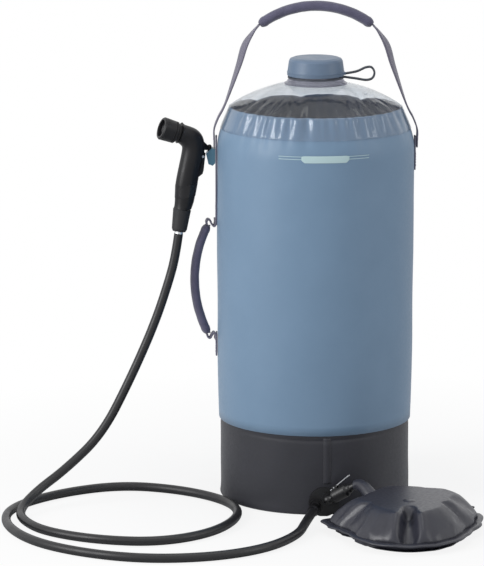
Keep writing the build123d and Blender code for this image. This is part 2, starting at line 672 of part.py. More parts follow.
def outlet_strainer():
    """A thimble screen over the end of the outlet shank inside the tank."""
    y_end = PORT_Y + 15.0
    cup = rod((OUTLET_X, y_end - 3.0, OUTLET_Z), (0, 1, 0), PORT_SHANK_DIA / 2 + 0.9, 12.0)
    cup -= rod((OUTLET_X, y_end - 4.0, OUTLET_Z), (0, 1, 0), PORT_SHANK_DIA / 2 + 0.02, 11.6)
    slot = Pos(OUTLET_X, y_end + 5.0, OUTLET_Z) * Box(1.2, 5.0, 30)
    for turn in range(3):
        cup -= Pos(OUTLET_X, 0, OUTLET_Z) * Rotation(0, 60 * turn, 0) * Pos(-OUTLET_X, 0, -OUTLET_Z) * slot
    return cup


def air_inlet():
    return port_body(INLET_X, INLET_Z, INLET_DIR, 4.4, 20.0, 4.7)


PLUG_START = 7.5


def pump_plug():
    """The quick connector on the pump's end: a sleeve over the inlet spigot with a barbed tail."""
    start = along(INLET_ELBOW, INLET_DIR, PLUG_START)
    frame = aimed(start, INLET_DIR)
    r = PLUG_DIA / 2
    profile = [
        (4.8, 0), (r - 1.2, 0), (r - 0.4, 1.0), (r, 3.0), (r, PLUG_LENGTH - 9), (r - 2.2, PLUG_LENGTH - 6.5),
        (r - 2.2, PLUG_LENGTH - 4), (4.6, PLUG_LENGTH - 2), (4.6, PLUG_LENGTH + 8), (3.0, PLUG_LENGTH + 8),
        (3.0, 14.0), (4.8, 14.0),
    ]
    body = frame * revolved(profile)
    keep_off = Pos(*INLET_ELBOW) * Sphere(6.1)
    return body - keep_off


def check_flap():
    """The non-return flap that lies across the plug's passage."""
    return rod(along(INLET_ELBOW, INLET_DIR, PLUG_START + 12.8), INLET_DIR, 4.6, 0.9)


LEVER_AXIS = unit((-INLET_DIR[1], INLET_DIR[0], 0))
LEVER_UP = unit((INLET_DIR[1] * LEVER_AXIS[2] - INLET_DIR[2] * LEVER_AXIS[1],
                 INLET_DIR[2] * LEVER_AXIS[0] - INLET_DIR[0] * LEVER_AXIS[2],
                 INLET_DIR[0] * LEVER_AXIS[1] - INLET_DIR[1] * LEVER_AXIS[0]))
LEVER_UP = LEVER_UP if LEVER_UP[2] > 0 else tuple(-c for c in LEVER_UP)
LEVER_TILT = 10.0


def lever_frame(distance, height):
    """A plane on the plug: x along the plug, y along the lever's pin, z away from the plug."""
    base = along(INLET_ELBOW, INLET_DIR, distance)
    origin = tuple(base[i] + height * LEVER_UP[i] for i in range(3))
    return Plane(origin=origin, x_dir=INLET_DIR, z_dir=LEVER_UP)


PIN_AT = PLUG_START + 9.0
PIN_HEIGHT = PLUG_DIA / 2 + 2.0


def lever_ears():
    """Two ears on the plug that hold the lever's pin."""
    ear = Box(6.0, 1.4, 6.0)
    pair = Pos(0, 4.2, -1.2) * ear + Pos(0, -4.2, -1.2) * ear
    pair -= Rotation(90, 0, 0) * Cylinder(0.9, 20)
    barrel = rod(along(INLET_ELBOW, INLET_DIR, PLUG_START), INLET_DIR, PLUG_DIA / 2, PLUG_LENGTH)
    return lever_frame(PIN_AT, PIN_HEIGHT) * pair - barrel


def lever_pin():
    return lever_frame(PIN_AT, PIN_HEIGHT) * Rotation(90, 0, 0) * Cylinder(0.9, 9.8)


def release_lever():
    """The sprung metal lever along the top of the plug, with its catch tooth."""
    arm = Pos(LEVER_LENGTH / 2 - 7, 0, 0) * Box(LEVER_LENGTH, 5.6, 1.0)
    knuckle = Rotation(90, 0, 0) * Cylinder(1.7, 5.6)
    tip = Pos(LEVER_LENGTH - 7, 0, 0) * Rotation(90, 0, 0) * Cylinder(0.9, 5.6)
    body = arm + knuckle + tip - Rotation(90, 0, 0) * Cylinder(0.9 + RUN_GAP, 20)
    return lever_frame(PIN_AT, PIN_HEIGHT) * Rotation(0, -LEVER_TILT, 0) * body


# Foot pump

def pump_at(shape):
    return Pos(PUMP_X, PUMP_Y, 0) * shape


PUMP_R = PUMP_DIA / 2
PUMP_TOP_R = PUMP_TOP_DIA / 2
PUMP_TOP_Z = PUMP_HEIGHT - 3.0
PLATE_Z = PUMP_FABRIC + 0.3


def pump_base_panel():
    return pump_at(disc(PUMP_R - 4.0, 0, PUMP_FABRIC))


def pump_gusset():
    """The bellows side wall: a barrel ring between the base panel and the top panel."""
    t = PUMP_FABRIC
    outer = Spline((PUMP_R - 6, PLATE_Z), (PUMP_R, PUMP_SEAM_Z), (PUMP_R - 9, 0.6 * PUMP_TOP_Z),
                   (PUMP_TOP_R + 3, PUMP_TOP_Z - 0.3))
    inner = Spline((PUMP_R - 6 - 2 * t, PLATE_Z), (PUMP_R - 2 * t, PUMP_SEAM_Z), (PUMP_R - 9 - 2 * t, 0.6 * PUMP_TOP_Z),
                   (PUMP_TOP_R + 3 - 3 * t, PUMP_TOP_Z - 0.3))
    ends = [Line(outer @ 0, inner @ 0), Line(outer @ 1, inner @ 1)]
    return pump_at(revolve(make_face(Plane.XZ * Curve([outer, inner] + ends)), Axis.Z, 360))


def pump_foam():
    return pump_at(disc(PUMP_TOP_R - 8, PLATE_Z, PUMP_TOP_Z - 0.3))


def pump_top_panel():
    top = PUMP_HEIGHT
    panel = revolved([
        (5.2, PUMP_TOP_Z), (PUMP_TOP_R, PUMP_TOP_Z), (PUMP_TOP_R + 2.6, PUMP_TOP_Z + 0.7), (PUMP_TOP_R - 4, top - 0.9),
        (PUMP_TOP_R - 24, top), (5.2, top),
    ])
    return pump_at(panel)


def intake_valve():
    """The rubber one-way intake in the middle of the top panel."""
    body = disc(5.2, PUMP_TOP_Z, PUMP_HEIGHT) + disc(7.5, PUMP_HEIGHT, PUMP_HEIGHT + 1.4)
    body -= disc(2.0, PUMP_TOP_Z - 1, PUMP_HEIGHT + 2)
    return pump_at(body)


def pump_tab():
    angle = math.radians(22)
    reach = PUMP_R + 4.0
    tab = Pos(reach * math.cos(angle), reach * math.sin(angle), PUMP_FABRIC / 2 + 0.4) * Rotation(0, 0, 22) * Box(18, 12, 1.6)
    return pump_at(tab - disc(PUMP_R - 4.0, -1, 5))


NECK_BEND = (66.0, PUMP_Y + 46.0, 33.0)


def pump_neck():
    """The welded fabric sleeve between the plug's barb and the pump's shoulder."""
    start = along(INLET_ELBOW, INLET_DIR, PLUG_START + PLUG_LENGTH + 0.1)
    step = tuple(NECK_BEND[i] - start[i] for i in range(3))
    length = math.sqrt(sum(c * c for c in step))
    sleeve = rod(start, INLET_DIR, NECK_TUBE_DIA / 2, 8.5) + Pos(*along(start, INLET_DIR, 8.5)) * Sphere(NECK_TUBE_DIA / 2)
    knee = along(start, INLET_DIR, 8.5)
    down = tuple(NECK_BEND[i] - knee[i] for i in range(3))
    drop = math.sqrt(sum(c * c for c in down))
    sleeve += rod(knee, down, NECK_TUBE_DIA / 2, drop, NECK_TUBE_DIA / 2 + 4)
    sleeve -= rod(along(start, INLET_DIR, -1.0), INLET_DIR, 4.65, 9.2)
    return sleeve - pump_at(pump_envelope())


def pump_envelope():
    """The pump's outside with a small gap round it, to trim what meets it."""
    g = SOFT_GAP
    return revolved([
        (0, -1), (PUMP_R + g, -1), (PUMP_R + g, PUMP_SEAM_Z), (PUMP_R - 3 + g, 0.42 * PUMP_TOP_Z),
        (PUMP_R - 8 + g, 0.62 * PUMP_TOP_Z), (PUMP_TOP_R + 12 + g, 0.84 * PUMP_TOP_Z),
        (PUMP_TOP_R + 4 + g, PUMP_TOP_Z + g), (PUMP_TOP_R, PUMP_HEIGHT + g), (0, PUMP_HEIGHT + 3),
    ])


# Hose: the route's points are chosen by hand along the line it lies in

HOSE_LIFT = HOSE_DIA / 2 + 0.1
FERRULE_END = tuple(HANDLE_END[i] + (COLLAR_LENGTH + 3.0) * COLLAR_DIR[i] for i in range(3))


def nozzle_point(point):
    """A point of the upright nozzle drawing, moved to the nozzle's place."""
    turn = math.radians(NOZZLE_TURN)
    x, y, z = point
    out = (NOZZLE_PEG_X + x * math.cos(turn) - y * math.sin(turn), x * math.sin(turn) + y * math.cos(turn))
    return (*out, z + CLIP_TOP_Z - NOZZLE_DRAWN_Z)


HOSE_END = nozzle_point(FERRULE_END)
RISE = HOSE_END[2]
# Each point of the route is measured from the tank's left side: out is negative, then y and z
HOSE_ROUTE = [
    (97, -229, HOSE_LIFT), (58, -291, HOSE_LIFT), (-6, -328, HOSE_LIFT), (-86, -335, HOSE_LIFT),
    (-162, -304, HOSE_LIFT), (-220, -252, HOSE_LIFT), (-254, -174, HOSE_LIFT), (-250, -99, HOSE_LIFT),
    (-194, -29, HOSE_LIFT), (-118, 11, HOSE_LIFT), (-40, -15, HOSE_LIFT), (16, -70, HOSE_LIFT),
    (30, -138, HOSE_LIFT), (-2, -218, HOSE_LIFT), (-66, -261, HOSE_LIFT), (-139, -251, HOSE_LIFT),
    (-202, -213, HOSE_LIFT), (-231, -163, HOSE_LIFT), (-238, -123, 8), (-220, -88, 22), (-184, -66, 45),
    (-140, -50, 0.26 * RISE), (-106, -36, 0.459 * RISE), (-76, -24, 0.664 * RISE), (-58.5, -17, 0.823 * RISE),
]
HOSE_POINTS = [
    HOSE_START, along(HOSE_START, OUTLET_DIR, 36.0),
    *[(x - TANK_R, y, z) for x, y, z in HOSE_ROUTE],
    nozzle_point(along(FERRULE_END, COLLAR_DIR, 28.0)), HOSE_END,
]


def corner_radii(points):
    """The largest even arc at each corner of the route."""
    radii = []
    for before, here, after in zip(points, points[1:], points[2:]):
        into = Vector(*here) - Vector(*before)
        out = Vector(*after) - Vector(*here)
        turn = math.radians(into.get_angle(out))
        radii.append(0.45 * min(into.length, out.length) / math.tan(turn / 2))
    return radii


def hose():
    radii = corner_radii(HOSE_POINTS)
    path = FilletPolyline(*HOSE_POINTS, radius=radii)
    tube = sweep(Plane(origin=path @ 0, z_dir=path % 0) * Circle(HOSE_DIA / 2), path=path)
    area = math.pi * HOSE_DIA ** 2 / 4
    print("hose radii", [round(r) for r in radii])
    print("hose length", round(path.length, 1), "volume ratio", round(tube.volume / (area * path.length), 4))
    return tube


PARTS = {
    "tank_wall": tank_wall,
    "tank_floor": tank_floor,
    "base_boot": base_boot,
    "boot_seam": boot_seam,
    "tank_dome": tank_dome,
    "filler_neck": filler_neck,
    "tether_collar": tether_collar,
    "tether_strap": tether_strap,
    "cap_tether_ring": cap_tether_ring,
    "filler_cap": filler_cap,
    "cap_gasket": cap_gasket,
    "strap_anchor_left": lambda: strap_anchor(LEFT),
    "strap_anchor_right": lambda: strap_anchor(RIGHT),
    "carry_webbing": carry_webbing,
    "carry_grip": carry_grip,
    "side_webbing_upper": side_webbing_upper,
    "side_webbing_lower": side_webbing_lower,
    "side_grip": side_grip,
    "side_core": side_core,
    "holster_clip": holster_clip,
    "nozzle_body": nozzle_body,
    "nozzle_band": nozzle_band,
    "trigger": trigger,
    "trigger_pin": trigger_pin,
    "valve_stem": valve_stem,
    "valve_seal": valve_seal,
    "valve_spring": valve_spring,
    "nozzle_collar": nozzle_collar,
    "nozzle_ferrule": nozzle_ferrule,
    "spray_ring": spray_ring,
    "spray_face": spray_face,
    "port_patch": port_patch,
    "outlet_fitting": outlet_fitting,
    "outlet_ferrule": outlet_ferrule,
    "outlet_nut": lambda: port_nut(OUTLET_X, OUTLET_Z),
    "outlet_strainer": outlet_strainer,
    "air_inlet": air_inlet,
    "inlet_nut": lambda: port_nut(INLET_X, INLET_Z),
    "pump_plug": pump_plug,
    "check_flap": check_flap,
    "lever_ears": lever_ears,
    "lever_pin": lever_pin,
    "release_lever": release_lever,
    "pump_neck": pump_neck,
    "pump_base_panel": pump_base_panel,
    "pump_gusset": pump_gusset,
    "pump_foam": pump_foam,
    "pump_top_panel": pump_top_panel,
    "intake_valve": intake_valve,
    "pump_tab": pump_tab,
    "hose": hose,
}

os.makedirs("parts", exist_ok=True)
for name, make in PARTS.items():
    shape = make()
    export_step(shape, "parts/" + name + ".step")
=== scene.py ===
"""Dresses the portable pressure shower: cloth tank, boot, clear dome, straps, nozzle, hose and foot pump."""
import bmesh
import bpy
import json
import math
import random
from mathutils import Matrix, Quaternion, Vector, noise


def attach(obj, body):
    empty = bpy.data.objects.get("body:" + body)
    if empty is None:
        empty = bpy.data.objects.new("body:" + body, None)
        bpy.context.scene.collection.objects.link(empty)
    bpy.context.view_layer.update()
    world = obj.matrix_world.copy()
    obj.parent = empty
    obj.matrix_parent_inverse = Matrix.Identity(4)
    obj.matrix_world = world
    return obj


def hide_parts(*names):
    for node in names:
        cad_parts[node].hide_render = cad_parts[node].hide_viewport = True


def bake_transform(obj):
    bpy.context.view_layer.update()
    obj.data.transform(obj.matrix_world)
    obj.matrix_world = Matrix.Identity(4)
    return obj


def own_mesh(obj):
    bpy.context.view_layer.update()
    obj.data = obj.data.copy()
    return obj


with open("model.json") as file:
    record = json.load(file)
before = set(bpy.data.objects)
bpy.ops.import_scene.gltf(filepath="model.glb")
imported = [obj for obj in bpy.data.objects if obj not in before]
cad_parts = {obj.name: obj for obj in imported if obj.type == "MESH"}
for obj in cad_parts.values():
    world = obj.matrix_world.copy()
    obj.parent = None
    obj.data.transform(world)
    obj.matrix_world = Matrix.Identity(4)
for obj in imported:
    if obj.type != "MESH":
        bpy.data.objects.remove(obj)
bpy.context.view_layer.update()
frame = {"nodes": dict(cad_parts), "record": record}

MM = 0.001
TURN = 2 * math.pi
FRONT = -math.pi / 2
ACROSS = Vector((0, 1, 0))

# Sizes of the tank in millimetres, as in the model
HEM_R, HEM_Z = 117.65, 98.0
TANK_R, BELLY_Z, SHOULDER_Z = 120.0, 248.0, 430.0
GATHER_R = 112.0
RIM_R, RIM_Z = 104.5, 482.0
WALL, FILM = 1.2, 0.9
BOOT_R, BOOT_TOP, BOOT_WALL, BOOT_CORNER = 116.3, 104.0, 1.6, 3
DOME_HOLE_R, DOME_CENTRE_Z, DOME_R = 33.0, 320.46, 192.89
SKIRT_Z = 455.0

# Sizes of the webbing, its sewing and the carry strap in millimetres
WEB_WIDE, WEB_THICK, WEB_NARROWED = 20.0, 1.8, 10
SEWN_GAP = 0.06
BOX_HALF = 7.5
STITCH_PITCH = 3.6
LEG_X, PIVOT_Z, CARRY_SPAN = 123.2, 441.0, 163.4

# Sizes of the foot pump in millimetres
PUMP_X, PUMP_Y, PUMP_R = 108.0, -212.0, 88.0
PUMP_TOP_Z, PUMP_SEAM_Z, PUMP_FLOOR_Z = 43.0, 10.0, 1.5


def place(x, y, z):
    """A point given in millimetres."""
    return Vector((x, y, z)) * MM


def link(obj):
    bpy.context.collection.objects.link(obj)
    return obj


# Camera, placed as in the photo

lens = bpy.data.cameras.new("camera")
lens.lens = 238.24
lens.sensor_width = 36
camera = link(bpy.data.objects.new("camera", lens))
camera.location = (-0.0894, -4.5, 1.14994)
camera.rotation_euler = (math.radians(78.85), 0, 0)
bpy.context.scene.camera = camera
bpy.context.scene.view_settings.view_transform = "Standard"


# Studio: three soft boxes, a white room and a matt paper floor

def linear(hex_colour):
    """An sRGB hex colour as the linear colour that shaders take."""
    parts = [int(hex_colour[i:i + 2], 16) / 255 for i in (0, 2, 4)]
    return (*[c / 12.92 if c <= 0.04045 else ((c + 0.055) / 1.055) ** 2.4 for c in parts], 1)


def add(tree, kind, inputs=None, **settings):
    """Add a node; an input is a value for its socket, or another node's output to link to it."""
    node = tree.nodes.new("ShaderNode" + kind)
    for key, value in settings.items():
        setattr(node, key, value)
    for key, value in (inputs or {}).items():
        if isinstance(value, bpy.types.NodeSocket):
            tree.links.new(value, node.inputs[key])
        else:
            node.inputs[key].default_value = value
    return node


def lamp(name, spot, aim, size, power):
    """A soft box at a spot, turned towards its aim; its size is width and height in metres."""
    data = bpy.data.lights.new(name, "AREA")
    data.shape = "RECTANGLE"
    data.size, data.size_y = size
    data.energy = power
    obj = link(bpy.data.objects.new(name, data))
    obj.location = spot
    obj.rotation_euler = (Vector(aim) - Vector(spot)).to_track_quat("-Z", "Y").to_euler()


def seen_plainly(tree, *rays):
    """1 for a ray from the camera or of another kind named, and 0 for the light that falls on things."""
    path = add(tree, "LightPath")
    seen = path.outputs["Is Camera Ray"]
    for kind in rays:
        seen = add(tree, "Math", {0: seen, 1: path.outputs[kind]}, operation="MAXIMUM").outputs[0]
    return seen


lamp("softbox_left", (-2.5, -1.4, 1.4), (0, 0, 0.3), (1.2, 1.8), 50)
lamp("softbox_right", (2.6, -0.9, 1.2), (0, 0, 0.25), (0.8, 1.6), 10)
lamp("softbox_top", (0.2, -0.3, 2.6), (0, 0, 0.2), (1.6, 1.6), 11)

world = bpy.data.worlds.new("studio")
bpy.context.scene.world = world
world.use_nodes = True
sky = world.node_tree
sky.nodes.clear()
seen = seen_plainly(sky, "Is Transmission Ray", "Is Glossy Ray")
room = add(sky, "Background", {"Color": linear("F4F6FA"), "Strength": 0.36})
paper = add(sky, "Background", {"Color": (1, 1, 1, 1), "Strength": 1.0})
both = add(sky, "MixShader", {0: seen, 1: room.outputs[0], 2: paper.outputs[0]})
add(sky, "OutputWorld", {"Surface": both.outputs[0]})

# Matt white paper: it takes the contact shadows near the product and fades to plain white 0.7 m from it
paper_floor = bpy.data.materials.new("matt_paper_floor")
paper_floor.use_nodes = True
tree = paper_floor.node_tree
tree.nodes.clear()
seen = seen_plainly(tree, "Is Transmission Ray")
away = add(tree, "VectorMath", {0: add(tree, "TexCoord").outputs["Object"]}, operation="LENGTH")
glowing = add(tree, "MapRange", {0: away.outputs["Value"], 1: 0.2, 2: 0.7, 3: 0.84, 4: 1.0})
share = add(tree, "Math", {0: seen, 1: glowing.outputs[0]}, operation="MULTIPLY")
matt = add(tree, "BsdfDiffuse", {"Color": (0.95, 0.95, 0.95, 1)})
glow = add(tree, "Emission", {"Color": (1, 1, 1, 1), "Strength": 1.0})
both = add(tree, "MixShader", {0: share.outputs[0], 1: matt.outputs[0], 2: glow.outputs[0]})
add(tree, "OutputMaterial", {"Surface": both.outputs[0]})

FLOOR_HALF, FLOOR_Z = 9, -0.0005
floor_mesh = bpy.data.meshes.new("floor")
floor_corners = [(x * FLOOR_HALF, y * FLOOR_HALF, FLOOR_Z) for x, y in ((-1, -1), (1, -1), (1, 1), (-1, 1))]
floor_mesh.from_pydata(floor_corners, [], [(0, 1, 2, 3)])
floor_mesh.materials.append(paper_floor)
floor = link(bpy.data.objects.new("floor", floor_mesh))


# Materials: each kind of stuff is a function, and sizes of patterns are in millimetres

# A wave texture repeats every 2 pi / (20 x its scale), so this over the repeat in millimetres is the scale
WAVE = TURN / 20 / MM


def stuff(name, colour, rough, **sockets):
    """A material with one principled shader, its plain values set on the shader itself."""
    material = bpy.data.materials.new(name)
    material.use_nodes = True
    tree = material.node_tree
    shader = tree.nodes["Principled BSDF"]
    shader.inputs["Base Color"].default_value = linear(colour)
    shader.inputs["Roughness"].default_value = rough
    for key, value in sockets.items():
        shader.inputs[key.replace("_", " ")].default_value = value
    return material, tree, shader, add(tree, "TexCoord")


def tint(tree, shader, pattern, dark, light, start=0.0, stop=1.0):
    """Colour the surface between two tones, by a pattern."""
    tone = add(tree, "ValToRGB", {0: pattern.outputs[0]})
    for element, spot, colour in zip(tone.color_ramp.elements, (start, stop), (dark, light)):
        element.position = spot
        element.color = linear(colour)
    tree.links.new(tone.outputs[0], shader.inputs["Base Color"])


def rub(tree, shader, pattern, glossiest, dullest):
    """Let the gloss change a little from place to place, by a pattern."""
    gloss = add(tree, "MapRange", {0: pattern.outputs[0], 1: 0.3, 2: 0.7, 3: glossiest, 4: dullest})
    tree.links.new(gloss.outputs[0], shader.inputs["Roughness"])


def emboss(tree, shader, pattern, strength, depth):
    """Raise the surface by a pattern."""
    bump = add(tree, "Bump", {"Strength": strength, "Distance": depth * MM, "Height": pattern.outputs[0]})
    tree.links.new(bump.outputs[0], shader.inputs["Normal"])


def coated_cloth(name, colour, worn, rough, thread, depth, **sockets):
    """Polyester cloth with a polyurethane coat: the weave only just shows, and the coat has a soft gloss."""
    material, tree, shader, at = stuff(name, colour, rough, **sockets)
    body, flat = at.outputs["Object"], at.outputs["UV"]
    cloud = add(tree, "TexNoise", {"Vector": body, "Scale": 14, "Detail": 4, "Roughness": 0.55})
    fine = add(tree, "TexNoise", {"Vector": body, "Scale": 260, "Detail": 3})
    threads = {"Vector": flat, "Scale": WAVE / thread, "Distortion": 0.4}
    warp = add(tree, "TexWave", threads, bands_direction="X")
    weft = add(tree, "TexWave", threads, bands_direction="Y")
    weave = add(tree, "Math", {0: warp.outputs[1], 1: weft.outputs[1]}, operation="MULTIPLY")
    relief = add(tree, "Math", {0: weave.outputs[0], 1: fine.outputs[0]}, operation="ADD")
    tint(tree, shader, cloud, colour, worn, 0.35, 0.75)
    rub(tree, shader, fine, rough - 0.05, rough + 0.07)
    emboss(tree, shader, relief, 0.35, depth)
    return material


def moulded(name, colour, rough, grain, depth, **sockets):
    """A moulding: one even colour, the fine sparked grain of its mould, and a gloss changed by handling."""
    material, tree, shader, at = stuff(name, colour, rough, **sockets)
    body = at.outputs["Object"]
    handled = add(tree, "TexNoise", {"Vector": body, "Scale": 60, "Detail": 3})
    sparks = add(tree, "TexNoise", {"Vector": body, "Scale": 1 / (grain * MM), "Detail": 2})
    rub(tree, shader, handled, rough - 0.06, rough + 0.06)
    emboss(tree, shader, sparks, 0.3, depth)
    return material


def woven_webbing(name, colour, light, rib):
    """Nylon webbing: raised ribs across the strap, broken by slanting rows, with a dull sheen, and the ribs
    painted lighter as painted highlight over grooves painted darker as painted shade.
    """
    material, tree, shader, at = stuff(name, colour, 0.62, Sheen_Weight=0.35, Sheen_Roughness=0.4)
    flat = at.outputs["UV"]
    ribs = add(tree, "TexWave", {"Vector": flat, "Scale": WAVE / rib, "Distortion": 0.2}, bands_direction="Y")
    rows = add(tree, "TexWave", {"Vector": flat, "Scale": WAVE / rib, "Distortion": 0.5},
               bands_direction="DIAGONAL")
    weave = add(tree, "Math", {0: ribs.outputs[1], 1: rows.outputs[1]}, operation="MULTIPLY")
    # Painted light and shade: the pattern that raises the ribs also colours them lighter and the grooves
    # between them darker
    tint(tree, shader, weave, colour, light)
    emboss(tree, shader, weave, 0.6, 0.3)
    return material


def knitted_sleeve(name, colour, light, loop):
    """A soft knitted sleeve over foam: small loops, and a strong sheen at grazing angles."""
    material, tree, shader, at = stuff(name, colour, 0.75, Sheen_Weight=0.5, Sheen_Roughness=0.5)
    body = at.outputs["Object"]
    loops = add(tree, "TexVoronoi", {"Vector": body, "Scale": 1 / (loop * MM)})
    cloud = add(tree, "TexNoise", {"Vector": body, "Scale": 90, "Detail": 4})
    tint(tree, shader, cloud, colour, light, 0.3, 0.8)
    emboss(tree, shader, loops, 0.4, 0.25)
    return material


def drawn_metal(name, colour, rough, mark):
    """Bright metal with fine marks from its drawing or turning."""
    material, tree, shader, at = stuff(name, colour, rough, Metallic=1.0)
    marks = add(tree, "TexNoise", {"Vector": at.outputs["Object"], "Scale": 1 / (mark * MM), "Detail": 2})
    rub(tree, shader, marks, rough - 0.06, rough + 0.1)
    emboss(tree, shader, marks, 0.15, 0.05)
    return material


def clear_film(name, clear, milk, rough, milky):
    """Clear polyurethane: it shows what is behind it, a little milky, with sharp lights where it is steep."""
    material = bpy.data.materials.new(name)
    material.use_nodes = True
    tree = material.node_tree
    tree.nodes.clear()
    at = add(tree, "TexCoord")
    ripple = add(tree, "TexNoise", {"Vector": at.outputs["Object"], "Scale": 45, "Detail": 3})
    bump = add(tree, "Bump", {"Strength": 0.3, "Distance": 1.2 * MM, "Height": ripple.outputs[0]})
    slant = add(tree, "LayerWeight", {"Normal": bump.outputs[0]})
    steep = add(tree, "Math", {0: slant.outputs["Facing"], 1: 4.5}, operation="POWER")
    edge = add(tree, "Math", {0: steep.outputs[0], 1: 0.45, 2: 0.025}, operation="MULTIPLY_ADD")
    through = add(tree, "BsdfTransparent", {"Color": linear(clear)})
    gloss = add(tree, "BsdfGlossy", {"Color": (1, 1, 1, 1), "Roughness": rough, "Normal": bump.outputs[0]})
    sheet = add(tree, "MixShader", {0: edge.outputs[0], 1: through.outputs[0], 2: gloss.outputs[0]})
    cloudy = add(tree, "BsdfPrincipled", {"Base Color": linear(milk), "Roughness": 0.4})
    film = add(tree, "MixShader", {0: milky, 1: sheet.outputs[0], 2: cloudy.outputs[0]})
    add(tree, "OutputMaterial", {"Surface": film.outputs[0]})
    return material


# Coated on the outside: an even slate blue with a satin light down the side
TANK_CLOTH = coated_cloth("polyester_cloth_satin_coated_blue", "7490AB", "7995B0", 0.42, 0.6, 0.05,
                          Specular_IOR_Level=0.45, Sheen_Weight=0.1)
# Coated on the inside: dark, so that the far wall is a navy band behind the clear dome
INNER_COAT = coated_cloth("polyester_cloth_coated_inside_navy", "263754", "2F4263", 0.45, 0.6, 0.05)
# Thicker coated cloth: near black, duller and coarser
BOOT_CLOTH = coated_cloth("heavy_polyester_cloth_coated_charcoal", "202129", "272831", 0.5, 0.8, 0.08,
                          Sheen_Weight=0.15)
# Thin coated cloth: smooth enough to show a soft light on each fold
PUMP_CLOTH = coated_cloth("thin_polyester_cloth_coated_slate", "2A2B35", "32333E", 0.34, 0.5, 0.04)
# Cast film: hardly seen face-on, bright on its puckers
DOME_FILM = clear_film("polyurethane_film_clear_cast", "F5F7F9", "C4CAD4", 0.12, 0.03)
# Moulded and thick: greyer and milkier than the film
NECK_CLEAR = clear_film("polyurethane_clear_moulded", "D6D6DE", "A9ABB5", 0.12, 0.25)
# Moulded: flat slate blue with one broad light
CAP_MOULDED = moulded("polypropylene_moulded_slate_blue", "6D8199", 0.42, 0.5, 0.04)
# Moulded rubber: dull and dark
TETHER_RUBBER = moulded("thermoplastic_elastomer_moulded_grey", "4A4F58", 0.55, 0.6, 0.04)
# Woven: purple-grey webbing with a painted highlight on its raised ribs, so that the grooves between them
# read darker as painted shade
WEBBING = woven_webbing("nylon_webbing_woven_painted_rib_light", "5F5C6E", "8D8A9D", 1.3)
# Knitted: velvety, with no highlight
SLEEVE = knitted_sleeve("polyester_knit_sleeve_plum_grey", "504E66", "5E5C76", 1.4)
# Moulded: smooth teal with a small light on each edge
CLIP_MOULDED = moulded("acetal_moulded_teal", "4F7C92", 0.4, 0.4, 0.03)
# Moulded: near black with a satin light
NOZZLE_MOULDED = moulded("abs_moulded_black_satin", "101014", 0.4, 0.5, 0.05, Specular_IOR_Level=0.35)
# Moulded in a polished mould: the one glossy band of the grip
NOZZLE_GLOSS = moulded("abs_moulded_black_gloss", "121216", 0.22, 0.8, 0.02)
# Soft overmould: matt
COLLAR_SOFT = moulded("elastomer_overmoulded_charcoal", "1E1E21", 0.6, 0.5, 0.06)
# Moulded: near black, a little glossier than the boot
FITTING_MOULDED = moulded("acetal_moulded_black", "131316", 0.36, 0.4, 0.03)
# Moulded silicone: matt black
SEAL_RUBBER = moulded("silicone_rubber_moulded_black", "17171A", 0.6, 0.6, 0.03)
# Drawn spring steel: bright wire
SPRING_STEEL = drawn_metal("stainless_steel_spring_bright", "C9CBCE", 0.25, 0.3)
# Crimped aluminium: a bright ring
FERRULE = drawn_metal("aluminium_crimped_bright", "E6E8EA", 0.32, 0.3)
# Crimped and anodised: a dark ring
DARK_FERRULE = drawn_metal("aluminium_crimped_anodised_black", "2A2A2D", 0.42, 0.3)
# Extruded rubber: black with one long soft light
HOSE_RUBBER = moulded("rubber_hose_extruded_black", "151518", 0.42, 0.7, 0.03)
# Foamed: no gloss, open cells of about a millimetre
FOAM = moulded("polyurethane_foam_open_cell", "8A8C90", 0.95, 0.9, 0.4)
# Spun thread: paler than the webbing that it sews
THREAD = moulded("polyester_sewing_thread", "8C8AA0", 0.6, 0.4, 0.05)
# Screen-printed: flat pale mint
INK = moulded("screen_print_ink_mint", "BFD9DC", 0.5, 0.5, 0.02)

SLOT_FINISH = {
    "tank_fabric": INNER_COAT, "boot_fabric": BOOT_CLOTH, "clear_film": NECK_CLEAR,
    "cap_plastic": CAP_MOULDED, "tether_rubber": TETHER_RUBBER, "webbing": WEBBING,
    "grip_fabric": SLEEVE, "clip_plastic": CLIP_MOULDED, "nozzle_plastic": NOZZLE_MOULDED,
    "fitting_plastic": FITTING_MOULDED, "seal_rubber": SEAL_RUBBER, "spring_steel": SPRING_STEEL,
    "ferrule_metal": FERRULE, "pump_fabric": PUMP_CLOTH, "foam": FOAM, "hose_rubber": HOSE_RUBBER,
}
NODE_FINISH = {"nozzle_band": NOZZLE_GLOSS, "nozzle_collar": COLLAR_SOFT, "outlet_ferrule": DARK_FERRULE}
for part in frame["record"]["subparts"]:
    carried = frame["nodes"][part["node"]]
    carried.data.materials.clear()
    carried.data.materials.append(NODE_FINISH.get(part["node"], SLOT_FINISH[part["material_slot"]]))


# Mesh tools

def mesh_piece(name, points, faces, finishes, shares=None, runs=None):
    """A mesh object in metres; shares gives each face's finish, runs each point's place on the flat cloth."""
    mesh = bpy.data.meshes.new(name)
    mesh.from_pydata([tuple(p) for p in points], [], faces)
    for finish in finishes:
        mesh.materials.append(finish)
    if shares:
        mesh.polygons.foreach_set("material_index", shares)
    if runs:
        flat = mesh.uv_layers.new(name="flat")
        for loop in mesh.loops:
            flat.data[loop.index].uv = runs[loop.vertex_index]
    mesh.polygons.foreach_set("use_smooth", [True] * len(mesh.polygons))
    shape = bmesh.new()
    shape.from_mesh(mesh)
    bmesh.ops.recalc_face_normals(shape, faces=shape.faces)
    shape.to_mesh(mesh)
    shape.free()
    return link(bpy.data.objects.new(name, mesh))


